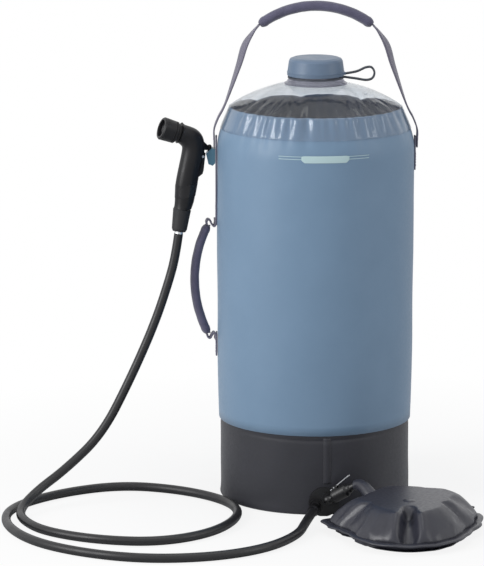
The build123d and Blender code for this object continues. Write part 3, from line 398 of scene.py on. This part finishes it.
def skin(name, rings, finishes, looped=False, share_of=None):
    """A surface over rings of equal count, capped at its ends, or closed on itself when looped."""
    count, rows = len(rings[0]), len(rings)
    points = [p for ring in rings for p in ring]
    faces, shares = [], []
    for i in range(rows if looped else rows - 1):
        here, above = i * count, (i + 1) % rows * count
        for j in range(count):
            k = (j + 1) % count
            faces.append((here + j, here + k, above + k, above + j))
            shares.append(share_of(i) if share_of else 0)
    if not looped:
        faces += [tuple(reversed(range(count))), tuple((rows - 1) * count + j for j in range(count))]
        shares += [0, 0]
    runs, travel = [], 0.0
    for i, ring in enumerate(rings):
        travel += (ring[0] - rings[i - 1][0]).length if i else 0
        girth = 0.0
        for j, p in enumerate(ring):
            girth += (p - ring[j - 1]).length if j else 0
            runs.append((girth, travel))
    return mesh_piece(name, points, faces, finishes, shares, runs)


def circle_of(steps):
    """Evenly spaced angles round a circle."""
    return [TURN * j / steps for j in range(steps)]


def turned(name, outline, steps, shape, finishes, share_of=None):
    """A revolved closed outline, bent at each angle by shape(angle, radius, height)."""
    rings = []
    for radius, height in outline:
        ring = []
        for angle in circle_of(steps):
            r, z = shape(angle, radius, height)
            ring.append(place(r * math.cos(angle), r * math.sin(angle), z))
        rings.append(ring)
    return skin(name, rings, finishes, True, share_of)


def bezier(a, b, c, d, t):
    s = 1 - t
    weights = (s ** 3, 3 * s * s * t, 3 * s * t * t, t ** 3)
    return tuple(sum(w * p[i] for w, p in zip(weights, (a, b, c, d))) for i in range(len(a)))


def flowing(points, steps):
    """A smooth line through points, with a number of steps between each two."""
    points = [Vector(p) for p in points]
    line = []
    for i in range(len(points) - 1):
        before = points[i - 1] if i else points[0] * 2 - points[1]
        after = points[i + 2] if i + 2 < len(points) else points[-1] * 2 - points[-2]
        a, b = points[i], points[i + 1]
        for k in range(steps):
            line.append(Vector(bezier(a, a + (b - before) / 6, b - (after - a) / 6, b, k / steps)))
    return line + [points[-1]]


def arc_through(a, b, c, steps):
    """Points on the circle through three points, from the first to the last."""
    a, b, c = Vector(a), Vector(b), Vector(c)
    ab, ac = b - a, c - a
    n = ab.cross(ac)
    centre = a + (n.cross(ab) * ac.length_squared + ac.cross(n) * ab.length_squared) / (2 * n.length_squared)
    start, axis = a - centre, n.normalized()
    total = start.angle(c - centre)
    return [centre + Quaternion(axis, total * k / steps) @ start for k in range(steps + 1)]


def tangents(line):
    last = len(line) - 1
    return [(line[min(i + 1, last)] - line[max(i - 1, 0)]).normalized() for i in range(last + 1)]


def square_to(direction, along):
    """The part of a direction that is square to a line."""
    return (direction - along * direction.dot(along)).normalized()


def strap(name, line, across_of, width_of, thick, finish):
    """A flat strap along a line: its width's direction and size are given at each share of the way."""
    rings = []
    for i, (p, along) in enumerate(zip(line, tangents(line))):
        t = i / (len(line) - 1)
        across = square_to(across_of(t), along)
        out = along.cross(across)
        half, edge = width_of(t) / 2, thick / 2
        top = [(-half + 0.5, edge), (-half / 2, edge), (0, edge), (half / 2, edge), (half - 0.5, edge)]
        under = [(a, -b) for a, b in reversed(top)]
        rings.append([(p + across * a + out * b) * MM for a, b in [(-half, 0)] + top + [(half, 0)] + under])
    return skin(name, rings, [finish])


# Sizes of a sleeve's rolled end, from its tip inwards
ROLLED_END = [0.55, 0.86, 1.0, 1.04, 0.97, 1.0]


def padding(t, angle):
    """Small lumps in a sewn sleeve and the ridge of its seam on the inner side."""
    lump = 0.25 * noise.noise(Vector((t * 14, math.cos(angle), math.sin(angle))))
    ridge = 0.7 * math.exp(-(math.remainder(angle + math.pi / 2, TURN) / 0.22) ** 2)
    return lump + ridge


def sleeve(name, line, half_wide, half_thick):
    """A padded round sleeve along a line in millimetres, with rolled ends."""
    rings = []
    last = len(line) - 1
    for i, (p, along) in enumerate(zip(line, tangents(line))):
        across = square_to(ACROSS, along)
        out = along.cross(across)
        swell = ROLLED_END[min(i, last - i, 5)]
        ring = []
        for angle in circle_of(24):
            extra = padding(i / last, angle)
            a = (half_wide * swell + extra) * math.cos(angle)
            b = (half_thick * swell + extra) * math.sin(angle)
            ring.append((p + across * a + out * b) * MM)
        rings.append(ring)
    return skin(name, rings, [SLEEVE])


def tube(name, line, radius_of, steps, finish):
    """A round tube along a line in metres that turns as little as it can."""
    rings, across = [], tangents(line)[0].orthogonal()
    for i, (p, along) in enumerate(zip(line, tangents(line))):
        across = square_to(across, along)
        out = along.cross(across)
        r = radius_of(i / (len(line) - 1)) * MM
        rings.append([p + (across * math.cos(a) + out * math.sin(a)) * r for a in circle_of(steps)])
    return skin(name, rings, [finish])


# Rings of a stitch: place along the thread and radius
STITCH_RINGS = ((-1.2, 0.12), (-0.7, 0.3), (0.7, 0.3), (1.2, 0.12))


def stitches(name, rows, outward):
    """Sewn stitches: short threads 2.4 mm long with 1.2 mm gaps along each row, given by its two ends."""
    points, faces = [], []
    sides = 6
    for start, end in rows:
        start, run = Vector(start), Vector(end) - Vector(start)
        count = max(1, round(run.length / STITCH_PITCH))
        along = run.normalized()
        across = along.cross(outward)
        for k in range(count):
            middle = start + run * ((k + 0.5) / count)
            base = len(points)
            for step, size in STITCH_RINGS:
                for turn in circle_of(sides):
                    offset = across * (math.cos(turn) * size) + outward * (math.sin(turn) * size)
                    points.append((middle + along * step + offset) * MM)
            for ring in range(3):
                for a in range(sides):
                    p, q = base + ring * sides + a, base + ring * sides + (a + 1) % sides
                    faces.append((p, q, q + sides, p + sides))
            faces += [tuple(base + a for a in reversed(range(sides)))]
            faces += [tuple(base + 3 * sides + a for a in range(sides))]
    return mesh_piece(name, points, faces, [THREAD])


def box_stitch(name, body, side, reach, z0, z1):
    """A sewn box with its two diagonals, on the left or right side of the tank."""
    x = side * reach
    low_left, low_right = (x, -BOX_HALF, z0), (x, BOX_HALF, z0)
    top_left, top_right = (x, -BOX_HALF, z1), (x, BOX_HALF, z1)
    piece = stitches(name, [
        (low_left, low_right), (top_left, top_right), (low_left, top_left), (low_right, top_right),
        (low_left, top_right), (low_right, top_left),
    ], Vector((side, 0, 0)))
    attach(piece, body)


# Hose: one NURBS line with the route's own points, in metres

HOSE_POINTS = [
    (-0.004669, -0.144569, 0.011444), (-0.013287, -0.179404, 0.008571), (-0.023, -0.229, 0.0056),
    (-0.062, -0.291, 0.0056), (-0.126, -0.328, 0.0056), (-0.206, -0.335, 0.0056), (-0.282, -0.304, 0.0056),
    (-0.340, -0.252, 0.0056), (-0.374, -0.174, 0.0056), (-0.370, -0.099, 0.0056), (-0.314, -0.029, 0.0056),
    (-0.238, 0.011, 0.0056), (-0.160, -0.015, 0.0056), (-0.104, -0.070, 0.0056), (-0.090, -0.138, 0.0056),
    (-0.122, -0.218, 0.0056), (-0.186, -0.261, 0.0056), (-0.259, -0.251, 0.0056), (-0.322, -0.213, 0.0056),
    (-0.351, -0.163, 0.0056), (-0.358, -0.123, 0.008), (-0.340, -0.088, 0.022), (-0.304, -0.066, 0.045),
    (-0.260, -0.050, 0.085), (-0.226, -0.036, 0.150), (-0.196, -0.024, 0.217), (-0.1785, -0.017, 0.269),
    (-0.170486, -0.013480, 0.299048), (-0.166550, -0.012201, 0.326740),
]
HOSE_DIAMETER, HOSE_LENGTH = 0.011, 1.83

route = bpy.data.curves.new("hose_route", "CURVE")
route.dimensions = "3D"
route.resolution_u = 20
spline = route.splines.new("NURBS")
spline.points.add(len(HOSE_POINTS) - 1)
for knot, point in zip(spline.points, HOSE_POINTS):
    knot.co = (*point, 1)
spline.order_u = 3
spline.use_endpoint_u = True
route_object = link(bpy.data.objects.new("hose_route", route))
hose_line = [v.co.copy() for v in bpy.data.meshes.new_from_object(route_object).vertices]
bpy.data.objects.remove(route_object)

hose = tube("hose_tube", hose_line, lambda t: HOSE_DIAMETER / MM / 2, 20, HOSE_RUBBER)
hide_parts("hose")
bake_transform(hose)


# Tank wall, with the gathers that the welded rim pulls into it

# Gathers in front: distance from the middle, half width in radians, depth and reach down the wall
FRONT_GATHERS = [
    (-96, 0.04, 2.2, 22), (-84, 0.05, 3.6, 30), (-71, 0.042, 2.6, 24), (-61, 0.036, 3.2, 28),
    (-46, 0.035, 2.0, 20), (-35, 0.05, 3.4, 24), (-13, 0.06, 4.4, 26), (3, 0.035, 1.6, 16),
    (14, 0.04, 2.0, 20), (27, 0.045, 2.4, 22), (39, 0.03, 1.6, 18), (52, 0.045, 2.8, 24),
    (66, 0.035, 1.8, 18), (78, 0.05, 2.8, 22), (92, 0.04, 2.2, 18), (102, 0.05, 2.4, 20),
]
BACK_GATHERS, BACK_START, BACK_STEP = 25, 0.15, 0.118
# Dips of the rim behind, seen through the dome: distance from the middle, half width and drop
BACK_NOTCHES = [(-77, 0.10, 5.0), (-18, 0.12, 3.4), (63, 0.10, 5.0)]


def turn_of(x, front=True):
    """The angle round the tank of a point at this distance to the right of the middle, in front or behind."""
    angle = math.acos(max(-1.0, min(1.0, x / GATHER_R)))
    return -angle if front else angle


dice = random.Random(11)
gathers = [(turn_of(x), half, depth, reach) for x, half, depth, reach in FRONT_GATHERS]
for k in range(BACK_GATHERS):
    at = BACK_START + BACK_STEP * k + dice.uniform(-0.04, 0.04)
    gathers.append((at, dice.uniform(0.03, 0.05), dice.uniform(1.4, 3.0), dice.uniform(14, 30)))
notches = [(turn_of(x, False), half, drop) for x, half, drop in BACK_NOTCHES]


def gather(angle, below):
    """How far the gathers pull the wall in at a height below the rim, or above it when negative."""
    total = 0.0
    for at, half, depth, reach in gathers:
        off = math.remainder(angle - at, TURN)
        if abs(off) < 3 * half:
            fade = math.exp(-(below / (reach if below > 0 else 16)) ** 2)
            total += depth * math.exp(-(off / half) ** 2) * fade
    return total


def rim_drop(angle, below):
    """How far the rim dips at its notches."""
    dip = sum(drop * math.exp(-abs(math.remainder(angle - at, TURN)) / half) for at, half, drop in notches)
    return dip * math.exp(-(below / 22) ** 2)


def drape(angle, radius, height):
    """The wall's own shape: gathers under the rim and slow waves down the side."""
    below = RIM_Z - height
    wave = noise.noise(Vector((2.1 * math.cos(angle), 2.1 * math.sin(angle), height / 95)))
    wave = max(0.0, wave + 0.25) * 1.1 * min(1.0, max(0.0, (height - HEM_Z) / 60))
    return radius - (gather(angle, below) + wave), height - rim_drop(angle, below)


def wall_outline(outward):
    """The wall's side view from hem to rim, moved outward."""
    hem = ((HEM_R, HEM_Z), (119.2, 143), (TANK_R, 198), (TANK_R, BELLY_Z))
    shoulder = ((TANK_R, SHOULDER_Z), (TANK_R, 449.8), (112.0, 462.8), (RIM_R, RIM_Z))
    low = [bezier(*hem, k / 12) for k in range(13)]
    side = [(TANK_R, BELLY_Z + (SHOULDER_Z - BELLY_Z) * k / 14) for k in range(1, 15)]
    top = [bezier(*shoulder, k / 20) for k in range(1, 21)]
    return [(r + outward, z) for r, z in low + side + top]


outer = wall_outline(0)
wall = turned("tank_wall_cloth", outer + wall_outline(-WALL)[::-1], 432, drape, [TANK_CLOTH, INNER_COAT],
              share_of=lambda row: 0 if row < len(outer) - 1 else 1)
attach(wall, "tank")
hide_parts("tank_wall")


# Fill mark: a bare plate between two pairs of thin lines, printed on the wall

PRINT_SECTION = ((0, 0), (0, 1), (0.12, 1), (0.5, 1), (0.88, 1), (1, 1), (1, 0), (0.5, 0))


def printed(name, x0, x1, low_high, lift):
    """A thin printed patch on the front wall, its lower and upper edge given at each share of its width."""
    columns, rings = 40, []
    for i in range(columns + 1):
        share = i / columns
        low, high = low_high(share)
        angle = -math.acos((x0 + (x1 - x0) * share) / TANK_R)
        ring = []
        for part, out in PRINT_SECTION:
            r, z = drape(angle, TANK_R, low + (high - low) * part)
            r += lift * out + 0.02
            ring.append(place(r * math.cos(angle), r * math.sin(angle), z))
        rings.append(ring)
    piece = skin(name, rings, [INK])
    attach(piece, "tank")


def lozenge(share):
    """The plate's lower and upper edge, cut to a slant at its ends."""
    cut = 3.4 * max(0.0, 1 - share / 0.06, 1 - (1 - share) / 0.06)
    return 430.8 + cut, 439.4 - 0.2 * cut


printed("fill_line_upper", -46, 62, lambda share: (438.0, 438.7), 0.1)
printed("fill_line_lower", -46, 62, lambda share: (434.8, 435.5), 0.1)
printed("fill_line_plate", -19, 38, lozenge, 0.14)


# Clear dome and its skirt over the shoulder

def dome_height(radius):
    """The dome is part of a ball: its height at a distance from the axis."""
    return DOME_CENTRE_Z + math.sqrt(DOME_R ** 2 - radius ** 2)


def crease(off, half, radius, middle, length, height):
    """A raised line across the dome, at an angle off its middle line and fading along its length."""
    return height * math.exp(-(off / half) ** 2) * max(0.0, 1 - abs(radius - middle) / length)


def stretch(angle, radius, height):
    """The film follows the wall's gathers at the rim and swells smooth towards the neck."""
    if radius > RIM_R + 1.0 or height <= RIM_Z - 0.5:
        return drape(angle, radius, height)
    rise = RIM_R + FILM - radius
    pull = gather(angle, -rise * 0.7) * 0.8
    seam = math.remainder(angle + 0.62, TURN)
    folds = crease(seam, 0.03, radius, 68, 34, 1.1)
    folds += crease(seam - 0.16 - 0.004 * (radius - 60), 0.025, radius, 72, 30, 0.8)
    ripple = 0.8 * noise.noise(Vector((3 * math.cos(angle), 3 * math.sin(angle), radius / 40)))
    ripple *= min(1.0, rise / 12) * min(1.0, (radius - DOME_HOLE_R) / 10)
    return radius - pull * 0.9, height - rim_drop(angle, rise) - 0.3 * pull + folds + ripple


DOME_ROWS, DOME_EASE = 22, 1.25
dome_edge = RIM_R + FILM
dome_width = dome_edge - DOME_HOLE_R
radii = [dome_edge - dome_width * (k / DOME_ROWS) ** DOME_EASE for k in range(1, DOME_ROWS + 1)]
film_outer = [p for p in wall_outline(FILM + 0.05) if p[1] >= SKIRT_Z] + [(r, dome_height(r)) for r in radii]
film_inner = [(r - FILM * 0.9, z) if z <= RIM_Z else (r - 0.3, z - FILM) for r, z in film_outer]
film = turned("dome_film", film_outer + film_inner[::-1], 432, stretch, [DOME_FILM])
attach(film, "tank")
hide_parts("tank_dome")


# Boot, with its welded lap in front

def slump(angle, radius, height):
    """Soft dents in the boot's side, none near the ports, and one crease under its hem."""
    if radius <= 100:
        return radius, height
    off = math.remainder(angle - FRONT, TURN)
    near_ports = math.exp(-(off / 0.3) ** 2) * (1 if height < 45 else 0)
    spot = Vector((2.6 * math.cos(angle), 2.6 * math.sin(angle), height / 60 + 5))
    dent = max(0.0, noise.noise(spot) + 0.2) * 1.3
    fold = 0.9 * math.exp(-((height - 93 + 1.2 * math.sin(3 * angle)) / 1.6) ** 2)
    fold *= 0.35 + 0.65 * math.exp(-(off / 0.5) ** 2)
    inside = min(1.0, max(0.0, height - BOOT_CORNER) / 8)
    return radius - (dent * (1 - near_ports) * inside + fold), height


BOOT_ROWS = (8, 14, 22, 30, 38, 46, 54, 62, 70, 78, 84, 88, 90, 91.5, 93, 94.5, 96, 99, 102, BOOT_TOP)
corner = []
for a in range(7):
    bend = a * math.pi / 12
    out, up = BOOT_CORNER * math.sin(bend), BOOT_CORNER * math.cos(bend)
    corner.append((BOOT_R - BOOT_CORNER + out, BOOT_CORNER - up))
boot_up = [(BOOT_R, z) for z in BOOT_ROWS]
boot_down = [(BOOT_R - BOOT_WALL, z) for z in BOOT_ROWS[::-1]]
boot_outline = [(2, 0), (50, 0), (95, 0)] + corner + boot_up + boot_down + [(110, BOOT_WALL), (2, BOOT_WALL)]
boot = turned("boot_cloth", boot_outline, 300, slump, [BOOT_CLOTH])
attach(boot, "tank")
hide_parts("base_boot")

LAP_LOW, LAP_HIGH, LAP_ROWS = 38.5, 95.0, 25
LAP_SECTION = ((8.6, 0.05), (8.9, 0.7), (13, 0.85), (17.1, 0.7), (17.4, 0.05), (13, -0.3))
lap_rings = []
for k in range(LAP_ROWS + 1):
    z = LAP_LOW + (LAP_HIGH - LAP_LOW) * k / LAP_ROWS
    ring = []
    for x, lift in LAP_SECTION:
        angle = -math.acos(x / BOOT_R)
        r = slump(angle, BOOT_R, z)[0] + lift
        ring.append(place(r * math.cos(angle), r * math.sin(angle), z))
    lap_rings.append(ring)
boot_lap = skin("boot_lap_seam", lap_rings, [BOOT_CLOTH])
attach(boot_lap, "tank")
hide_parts("boot_seam")


# Carry strap: two twisted legs of webbing and a padded sleeve

# The leg's line, as shares of its distance from the middle and of the strap's rise
LEG = [(1.0, 0.0), (1.0, 0.08), (0.96, 0.165), (0.89, 0.27), (0.763, 0.545), (0.70, 0.70), (0.62, 0.80),
       (0.556, 0.859)]
LEG_TWIST = math.radians(19)
LEG_END_HEIGHTS = (431.2, 432, 434, 437, 439, 441.2)


def leg_across(side, t):
    """The leg lies flat on the tank, shows its face above it and turns edge-on again at the sleeve."""
    twist = side * LEG_TWIST * math.sin(math.pi * min(1.0, max(0.0, (t - 0.42) / 0.52))) ** 1.3
    return Vector((math.sin(twist), math.cos(twist), 0))


def leg_width(t):
    """The webbing is folded narrower where it goes into the sleeve."""
    return WEB_WIDE - 7 * max(0.0, (t - 0.75) / 0.25) ** 0.7


def round_end_width(t):
    """The lower end of each leg is cut round."""
    return WEB_WIDE * math.sqrt(max(0.04, 1 - (1 - t) ** 2))


for side, word in ((-1, "left"), (1, "right")):
    leg_line = flowing([(side * LEG_X * x, 0, PIVOT_Z + CARRY_SPAN * z) for x, z in LEG], 8)
    leg = strap("carry_leg_" + word, leg_line, lambda t: leg_across(side, t), leg_width, WEB_THICK, WEBBING)
    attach(leg, "carry_strap")
    if side < 0:
        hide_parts("carry_webbing")
    end_line = [Vector((side * LEG_X, 0, z)) for z in LEG_END_HEIGHTS]
    end = strap("carry_leg_end_" + word, end_line, lambda t: ACROSS, round_end_width, WEB_THICK, WEBBING)
    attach(end, "carry_strap")
    box_stitch("carry_leg_stitches_" + word, "carry_strap", side, LEG_X + 0.95, PIVOT_Z, PIVOT_Z + 11)

grip_line = arc_through((-68.0, 0, 581.4), (0, 0, 604.4), (68.0, 0, 581.4), 60)
carry_grip = sleeve("carry_grip_sleeve", grip_line, 6.6, 5.9)
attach(carry_grip, "carry_strap")
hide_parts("carry_grip")


# Side handle: webbing sewn to the wall, curled out into a padded sleeve

side_line = arc_through((-131, 0, 335), (-147, 0, 268), (-131, 0, 201), 60)
side_grip = sleeve("side_grip_sleeve", side_line, 5.6, 5.1)
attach(side_grip, "side_handle")
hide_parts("side_grip")


def wall_strip(name, side, z0, z1):
    """A strip of webbing sewn flat on the round wall."""
    half, edge = WEB_WIDE / 2, WEB_THICK / 2
    outside = [(-half, edge)] + [(y, WEB_THICK) for y in (-9.5, -5, 0, 5, 9.5)]
    inside = [(half, edge)] + [(y, 0) for y in (9.5, 5, 0, -5, -9.5)]
    rings = []
    for k in range(19):
        z = z0 + (z1 - z0) * k / 18
        ring = []
        for y, up in outside + inside:
            radius = TANK_R + SEWN_GAP + up
            ring.append(place(side * math.sqrt(radius ** 2 - y * y), y, z))
        rings.append(ring)
    piece = skin(name, rings, [WEBBING])
    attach(piece, "tank")
    return piece


def curl(name, points):
    """The doubled end of a sewn strip, curled off the wall and narrowed into the side sleeve."""
    line = flowing([(x, 0, z) for x, z in points], 6)
    piece = strap(name, line, lambda t: Vector((-0.12, 0.99, 0)),
                  lambda t: WEB_WIDE - WEB_NARROWED * min(1.0, t * 2.4), 2.2, WEBBING)
    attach(piece, "tank")
    return piece


STITCH_R = TANK_R + 1.75
right_anchor = wall_strip("strap_anchor_strip_right", 1, 405, 445)
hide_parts("strap_anchor_right")
box_stitch("anchor_stitches_right", "tank", 1, STITCH_R, 409, 426)
left_anchor = wall_strip("strap_anchor_strip_left", -1, 337, 445)
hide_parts("strap_anchor_left")
box_stitch("anchor_stitches_left", "tank", -1, STITCH_R, 345, 362)
upper_curl = curl("side_webbing_curl_upper", [
    (-121.9, 343), (-122.0, 338.0), (-123.8, 334.6), (-126.6, 336.8), (-128.4, 341.0), (-131.2, 342.4),
    (-132.9, 339.8), (-132.5, 336.4)])
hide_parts("side_webbing_upper")
wall_strip("side_webbing_tab", -1, 174, 201)
box_stitch("side_tab_stitches", "tank", -1, STITCH_R, 178, 195)
lower_curl = curl("side_webbing_curl_lower", [
    (-121.9, 193), (-122.0, 198.4), (-123.9, 201.4), (-126.4, 199.0), (-128.6, 195.2), (-131.4, 196.0),
    (-132.3, 199.4)])
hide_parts("side_webbing_lower")


# Tether of the cap

tether_line = flowing([(x, 0, z) for x, z in [
    (34.6, 521.6), (49.5, 524.4), (60.5, 529.2), (67.5, 529.2), (71.0, 523.0), (68.5, 516.2), (61.0, 513.9),
    (48.0, 515.8), (34.6, 517.6)]], 8)
tether = strap("tether_loop", tether_line, lambda t: ACROSS, lambda t: 5.6, 2.4, TETHER_RUBBER)
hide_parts("tether_strap")
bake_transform(tether)


# Foot pump: a soft pillow with a flat top and four soft corners

# The seam's distance from the pump's middle at each angle in degrees
SEAM = [(-14, 74), (10, 86), (34, 103), (50, 98), (70, 90), (100, 91), (128, 84), (148, 92), (165, 105),
        (178, 94), (190, 81), (205, 79), (219, 82), (240, 87), (267, 90), (290, 87), (310, 81), (330, 76)]
# The pillow's rows from the middle of its top, over its seam, to the middle of its underside: share of the
# seam's distance, and height
PUMP_PROFILE = [(0.02, 42.4), (0.2, 42.6), (0.4, 42.6), (0.54, 42.2), (0.61, 40.6), (0.68, 37.2),
                (0.76, 31.8), (0.84, 25.6), (0.92, 19.4), (0.97, 15.0), (1.0, 12.0), (0.98, 9.4),
                (0.93, 5.6), (0.88, 3.0), (0.82, 1.7), (0.6, 1.7), (0.3, 1.7), (0.02, 1.7)]
SEAM_ROW, FLOOR_ROW = 10, 15
# Folds of the pillow's top: direction in degrees, start, half width and depth, the deep front pleat first
FOLDS = [(-93, 20, 12, 17.0), (-150, 56, 8, 2.0), (-28, 54, 9, 1.8), (148, 54, 10, 3.0), (20, 60, 8, 1.4),
         (-58, 62, 8, 1.0), (-124, 58, 7, 1.2), (172, 62, 8, 2.4)]


def eased(t):
    """0 to 1 with a soft start and end."""
    t = min(1.0, max(0.0, t))
    return t * t * (3 - 2 * t)


def seam_reach(angle):
    """How far the pump's seam lies from its middle."""
    first = SEAM[0][0]
    turn = (math.degrees(angle) - first) % 360 + first
    for (a, r), (b, s) in zip(SEAM, SEAM[1:] + [(first + 360, SEAM[0][1])]):
        if a <= turn <= b:
            return r + (s - r) * eased((turn - a) / (b - a))


def pinch(x, y):
    """Depth of the folds in the pump's top at a point measured from its middle."""
    total = 0.0
    for degrees, start, width, depth in FOLDS:
        a = math.radians(degrees)
        ahead, aside = x * math.cos(a) + y * math.sin(a), -x * math.sin(a) + y * math.cos(a)
        grown = eased((ahead - start) / 20)
        half = width * (0.45 + 0.55 * min(1.0, max(0.0, (ahead - start) / (PUMP_R - start))))
        total += depth * grown * math.exp(-(abs(aside) / half) ** 3)
        total -= 0.2 * depth * grown * math.exp(-((abs(aside) - 1.7 * half) / (0.6 * half)) ** 2)
    return total


def pump_ring(steps, reach_of, height_of):
    """A ring round the pump's middle, its distance and height given for each angle."""
    ring = []
    for angle in circle_of(steps):
        r = reach_of(angle)
        ring.append(place(PUMP_X + r * math.cos(angle), PUMP_Y + r * math.sin(angle), height_of(angle)))
    return ring


def pillow_reach(row, share, angle):
    """How far a row of the pillow lies from the middle: steep behind, and baggy under its front left edge."""
    baggy = 0.16 * math.exp(-(math.remainder(angle - math.radians(218), TURN) / 0.3) ** 2)
    crumple = min(1.0, (row - SEAM_ROW) / 3) * baggy * (1 + 0.5 * math.sin(angle * 37))
    behind = math.exp(-(math.remainder(angle - math.radians(85), TURN) / math.radians(52)) ** 4)
    wide = share + share * (1 - share) * behind + (crumple if SEAM_ROW < row < FLOOR_ROW else 0)
    return seam_reach(angle) * wide * 0.985


def swell(obj, frames, pressure, cap_mm):
    """Puff a closed cloth shape by simulation, holding back how far any point may go."""
    rest = [v.co.copy() for v in obj.data.vertices]
    cloth = obj.modifiers.new("cloth", "CLOTH")
    cloth.settings.use_pressure = True
    cloth.settings.uniform_pressure_force = pressure
    cloth.settings.effector_weights.gravity = 0
    scene = bpy.context.scene
    for step in range(1, frames + 1):
        scene.frame_set(step)
    bpy.ops.object.modifier_apply(modifier=cloth.name)
    scene.frame_set(1)
    for v, start in zip(obj.data.vertices, rest):
        move = v.co - start
        v.co = start + move * min(1.0, cap_mm * MM / max(move.length, 1e-9))


pillow = skin("pump_pillow", [
    pump_ring(96, lambda angle: pillow_reach(row, share, angle), lambda angle: z * 0.97)
    for row, (share, z) in enumerate(PUMP_PROFILE)], [PUMP_CLOTH])
bpy.context.view_layer.objects.active = pillow
remesh = pillow.modifiers.new("remesh", "REMESH")
remesh.mode, remesh.voxel_size = "VOXEL", 4.5 * MM
bpy.ops.object.modifier_apply(modifier=remesh.name)
swell(pillow, frames=20, pressure=3.5, cap_mm=4)
finer = pillow.modifiers.new("finer", "SUBSURF")
finer.levels = finer.render_levels = 1
bpy.ops.object.modifier_apply(modifier=finer.name)
for v in pillow.data.vertices:
    x, y, z = v.co.x / MM - PUMP_X, v.co.y / MM - PUMP_Y, v.co.z / MM
    wrinkle = 0.8 * noise.noise(Vector((x / 26, y / 26, 2))) * min(1.0, math.hypot(x, y) / 50)
    z -= (pinch(x, y) + wrinkle) * min(1.0, max(0.0, (z - PUMP_SEAM_Z) / 14))
    v.co.z = min(PUMP_TOP_Z, max(PUMP_FLOOR_Z, z)) * MM
for polygon in pillow.data.polygons:
    polygon.use_smooth = True
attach(pillow, "tank")
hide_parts("pump_gusset", "pump_top_panel")
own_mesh(pillow)


# The pump's welded seam, a thin wavy flange round the pillow

# The flange's section: distance out from the seam, and height
FLANGE = ((-11.0, 12.9), (1.5, 12.7), (3.2, 12.2), (3.2, 11.2), (1.5, 10.9), (-11.0, 11.0))


def flange_reach(inset, angle):
    wave = noise.noise(Vector((5 * math.cos(angle), 5 * math.sin(angle), 7)))
    return seam_reach(angle) + inset * (0.75 + 0.25 * wave)


def flange_height(inset, z, angle):
    wave = noise.noise(Vector((3.3 * math.cos(angle), 3.3 * math.sin(angle), 1)))
    return z + (1.6 * wave - 1.5 * max(0, inset) / 4)


flange = skin("pump_seam_flange", [
    pump_ring(240, lambda angle: flange_reach(inset, angle), lambda angle: flange_height(inset, z, angle))
    for inset, z in FLANGE], [PUMP_CLOTH], looped=True)
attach(flange, "tank")
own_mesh(flange)

UNDERSIDE = ((0.02, 0.05), (0.5, 0.05), (0.83, 0.05), (0.85, 0.6), (0.83, 1.3), (0.5, 1.3), (0.02, 1.3))
underside = skin("pump_underside", [
    pump_ring(120, lambda angle: seam_reach(angle) * share, lambda angle: z) for share, z in UNDERSIDE],
    [PUMP_CLOTH])
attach(underside, "tank")
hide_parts("pump_base_panel")


# The foam block inside, pressed in under the pillow's folds

FOAM_OUTLINE = ((2, 1.8), (44, 1.8), (48, 3), (49, 6), (48.6, 20), (48, 30), (46, 34), (42, 36), (36, 37),
                (30, 37.4), (24, 37.6), (16, 37.6), (2, 37.6))


def foam_height(r, z, angle):
    dent = max(0.0, pinch(r * math.cos(angle), r * math.sin(angle)))
    return z - dent * 1.15 * min(1.0, z / 36)


foam = skin("pump_foam_block", [
    pump_ring(60, lambda angle: r, lambda angle: foam_height(r, z, angle)) for r, z in FOAM_OUTLINE], [FOAM])
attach(foam, "tank")
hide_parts("pump_foam")
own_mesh(foam)


# Pump neck: a fabric sleeve from the connector's barb down into the pump's shoulder

neck_line = [p * MM for p in flowing([
    (46.2, -139.2, 43.2), (51.5, -142.5, 44.6), (57.5, -149.5, 42.0), (64.0, -158.5, 36.0),
    (72.0, -168.0, 29.0)], 9)]
neck_tube = tube("pump_neck_sleeve", neck_line, lambda t: 6.0 + 3.4 * t, 28, PUMP_CLOTH)
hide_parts("pump_neck")
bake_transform(neck_tube)


# Intake: a low round patch in the middle of the pump's top

INTAKE = ((0.5, 42.2), (7.5, 42.2), (8.0, 42.6), (7.2, 43.3), (3.0, 43.5), (0.5, 43.5))
intake = skin("pump_intake_patch", [
    pump_ring(40, lambda angle: r, lambda angle: z) for r, z in INTAKE], [PUMP_CLOTH])
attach(intake, "pump_plate")
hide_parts("intake_valve")


# Loop tab behind the pump's right corner

TAB_TURN = math.radians(47)
TAB_WIDE, TAB_THICK = 12.0, 1.3
TAB_LOOP = ((94, 11.0), (102, 12.0), (110, 13.0), (114.5, 14.2), (110, 15.6), (102, 15.0), (94, 14.0))
tab_out = Vector((math.cos(TAB_TURN), math.sin(TAB_TURN), 0))
tab_across = Vector((-math.sin(TAB_TURN), math.cos(TAB_TURN), 0))
tab_line = flowing([(PUMP_X + r * tab_out.x, PUMP_Y + r * tab_out.y, z) for r, z in TAB_LOOP], 5)
tab = strap("pump_tab_loop", tab_line, lambda t: tab_across, lambda t: TAB_WIDE, TAB_THICK, PUMP_CLOTH)
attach(tab, "tank")
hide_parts("pump_tab")
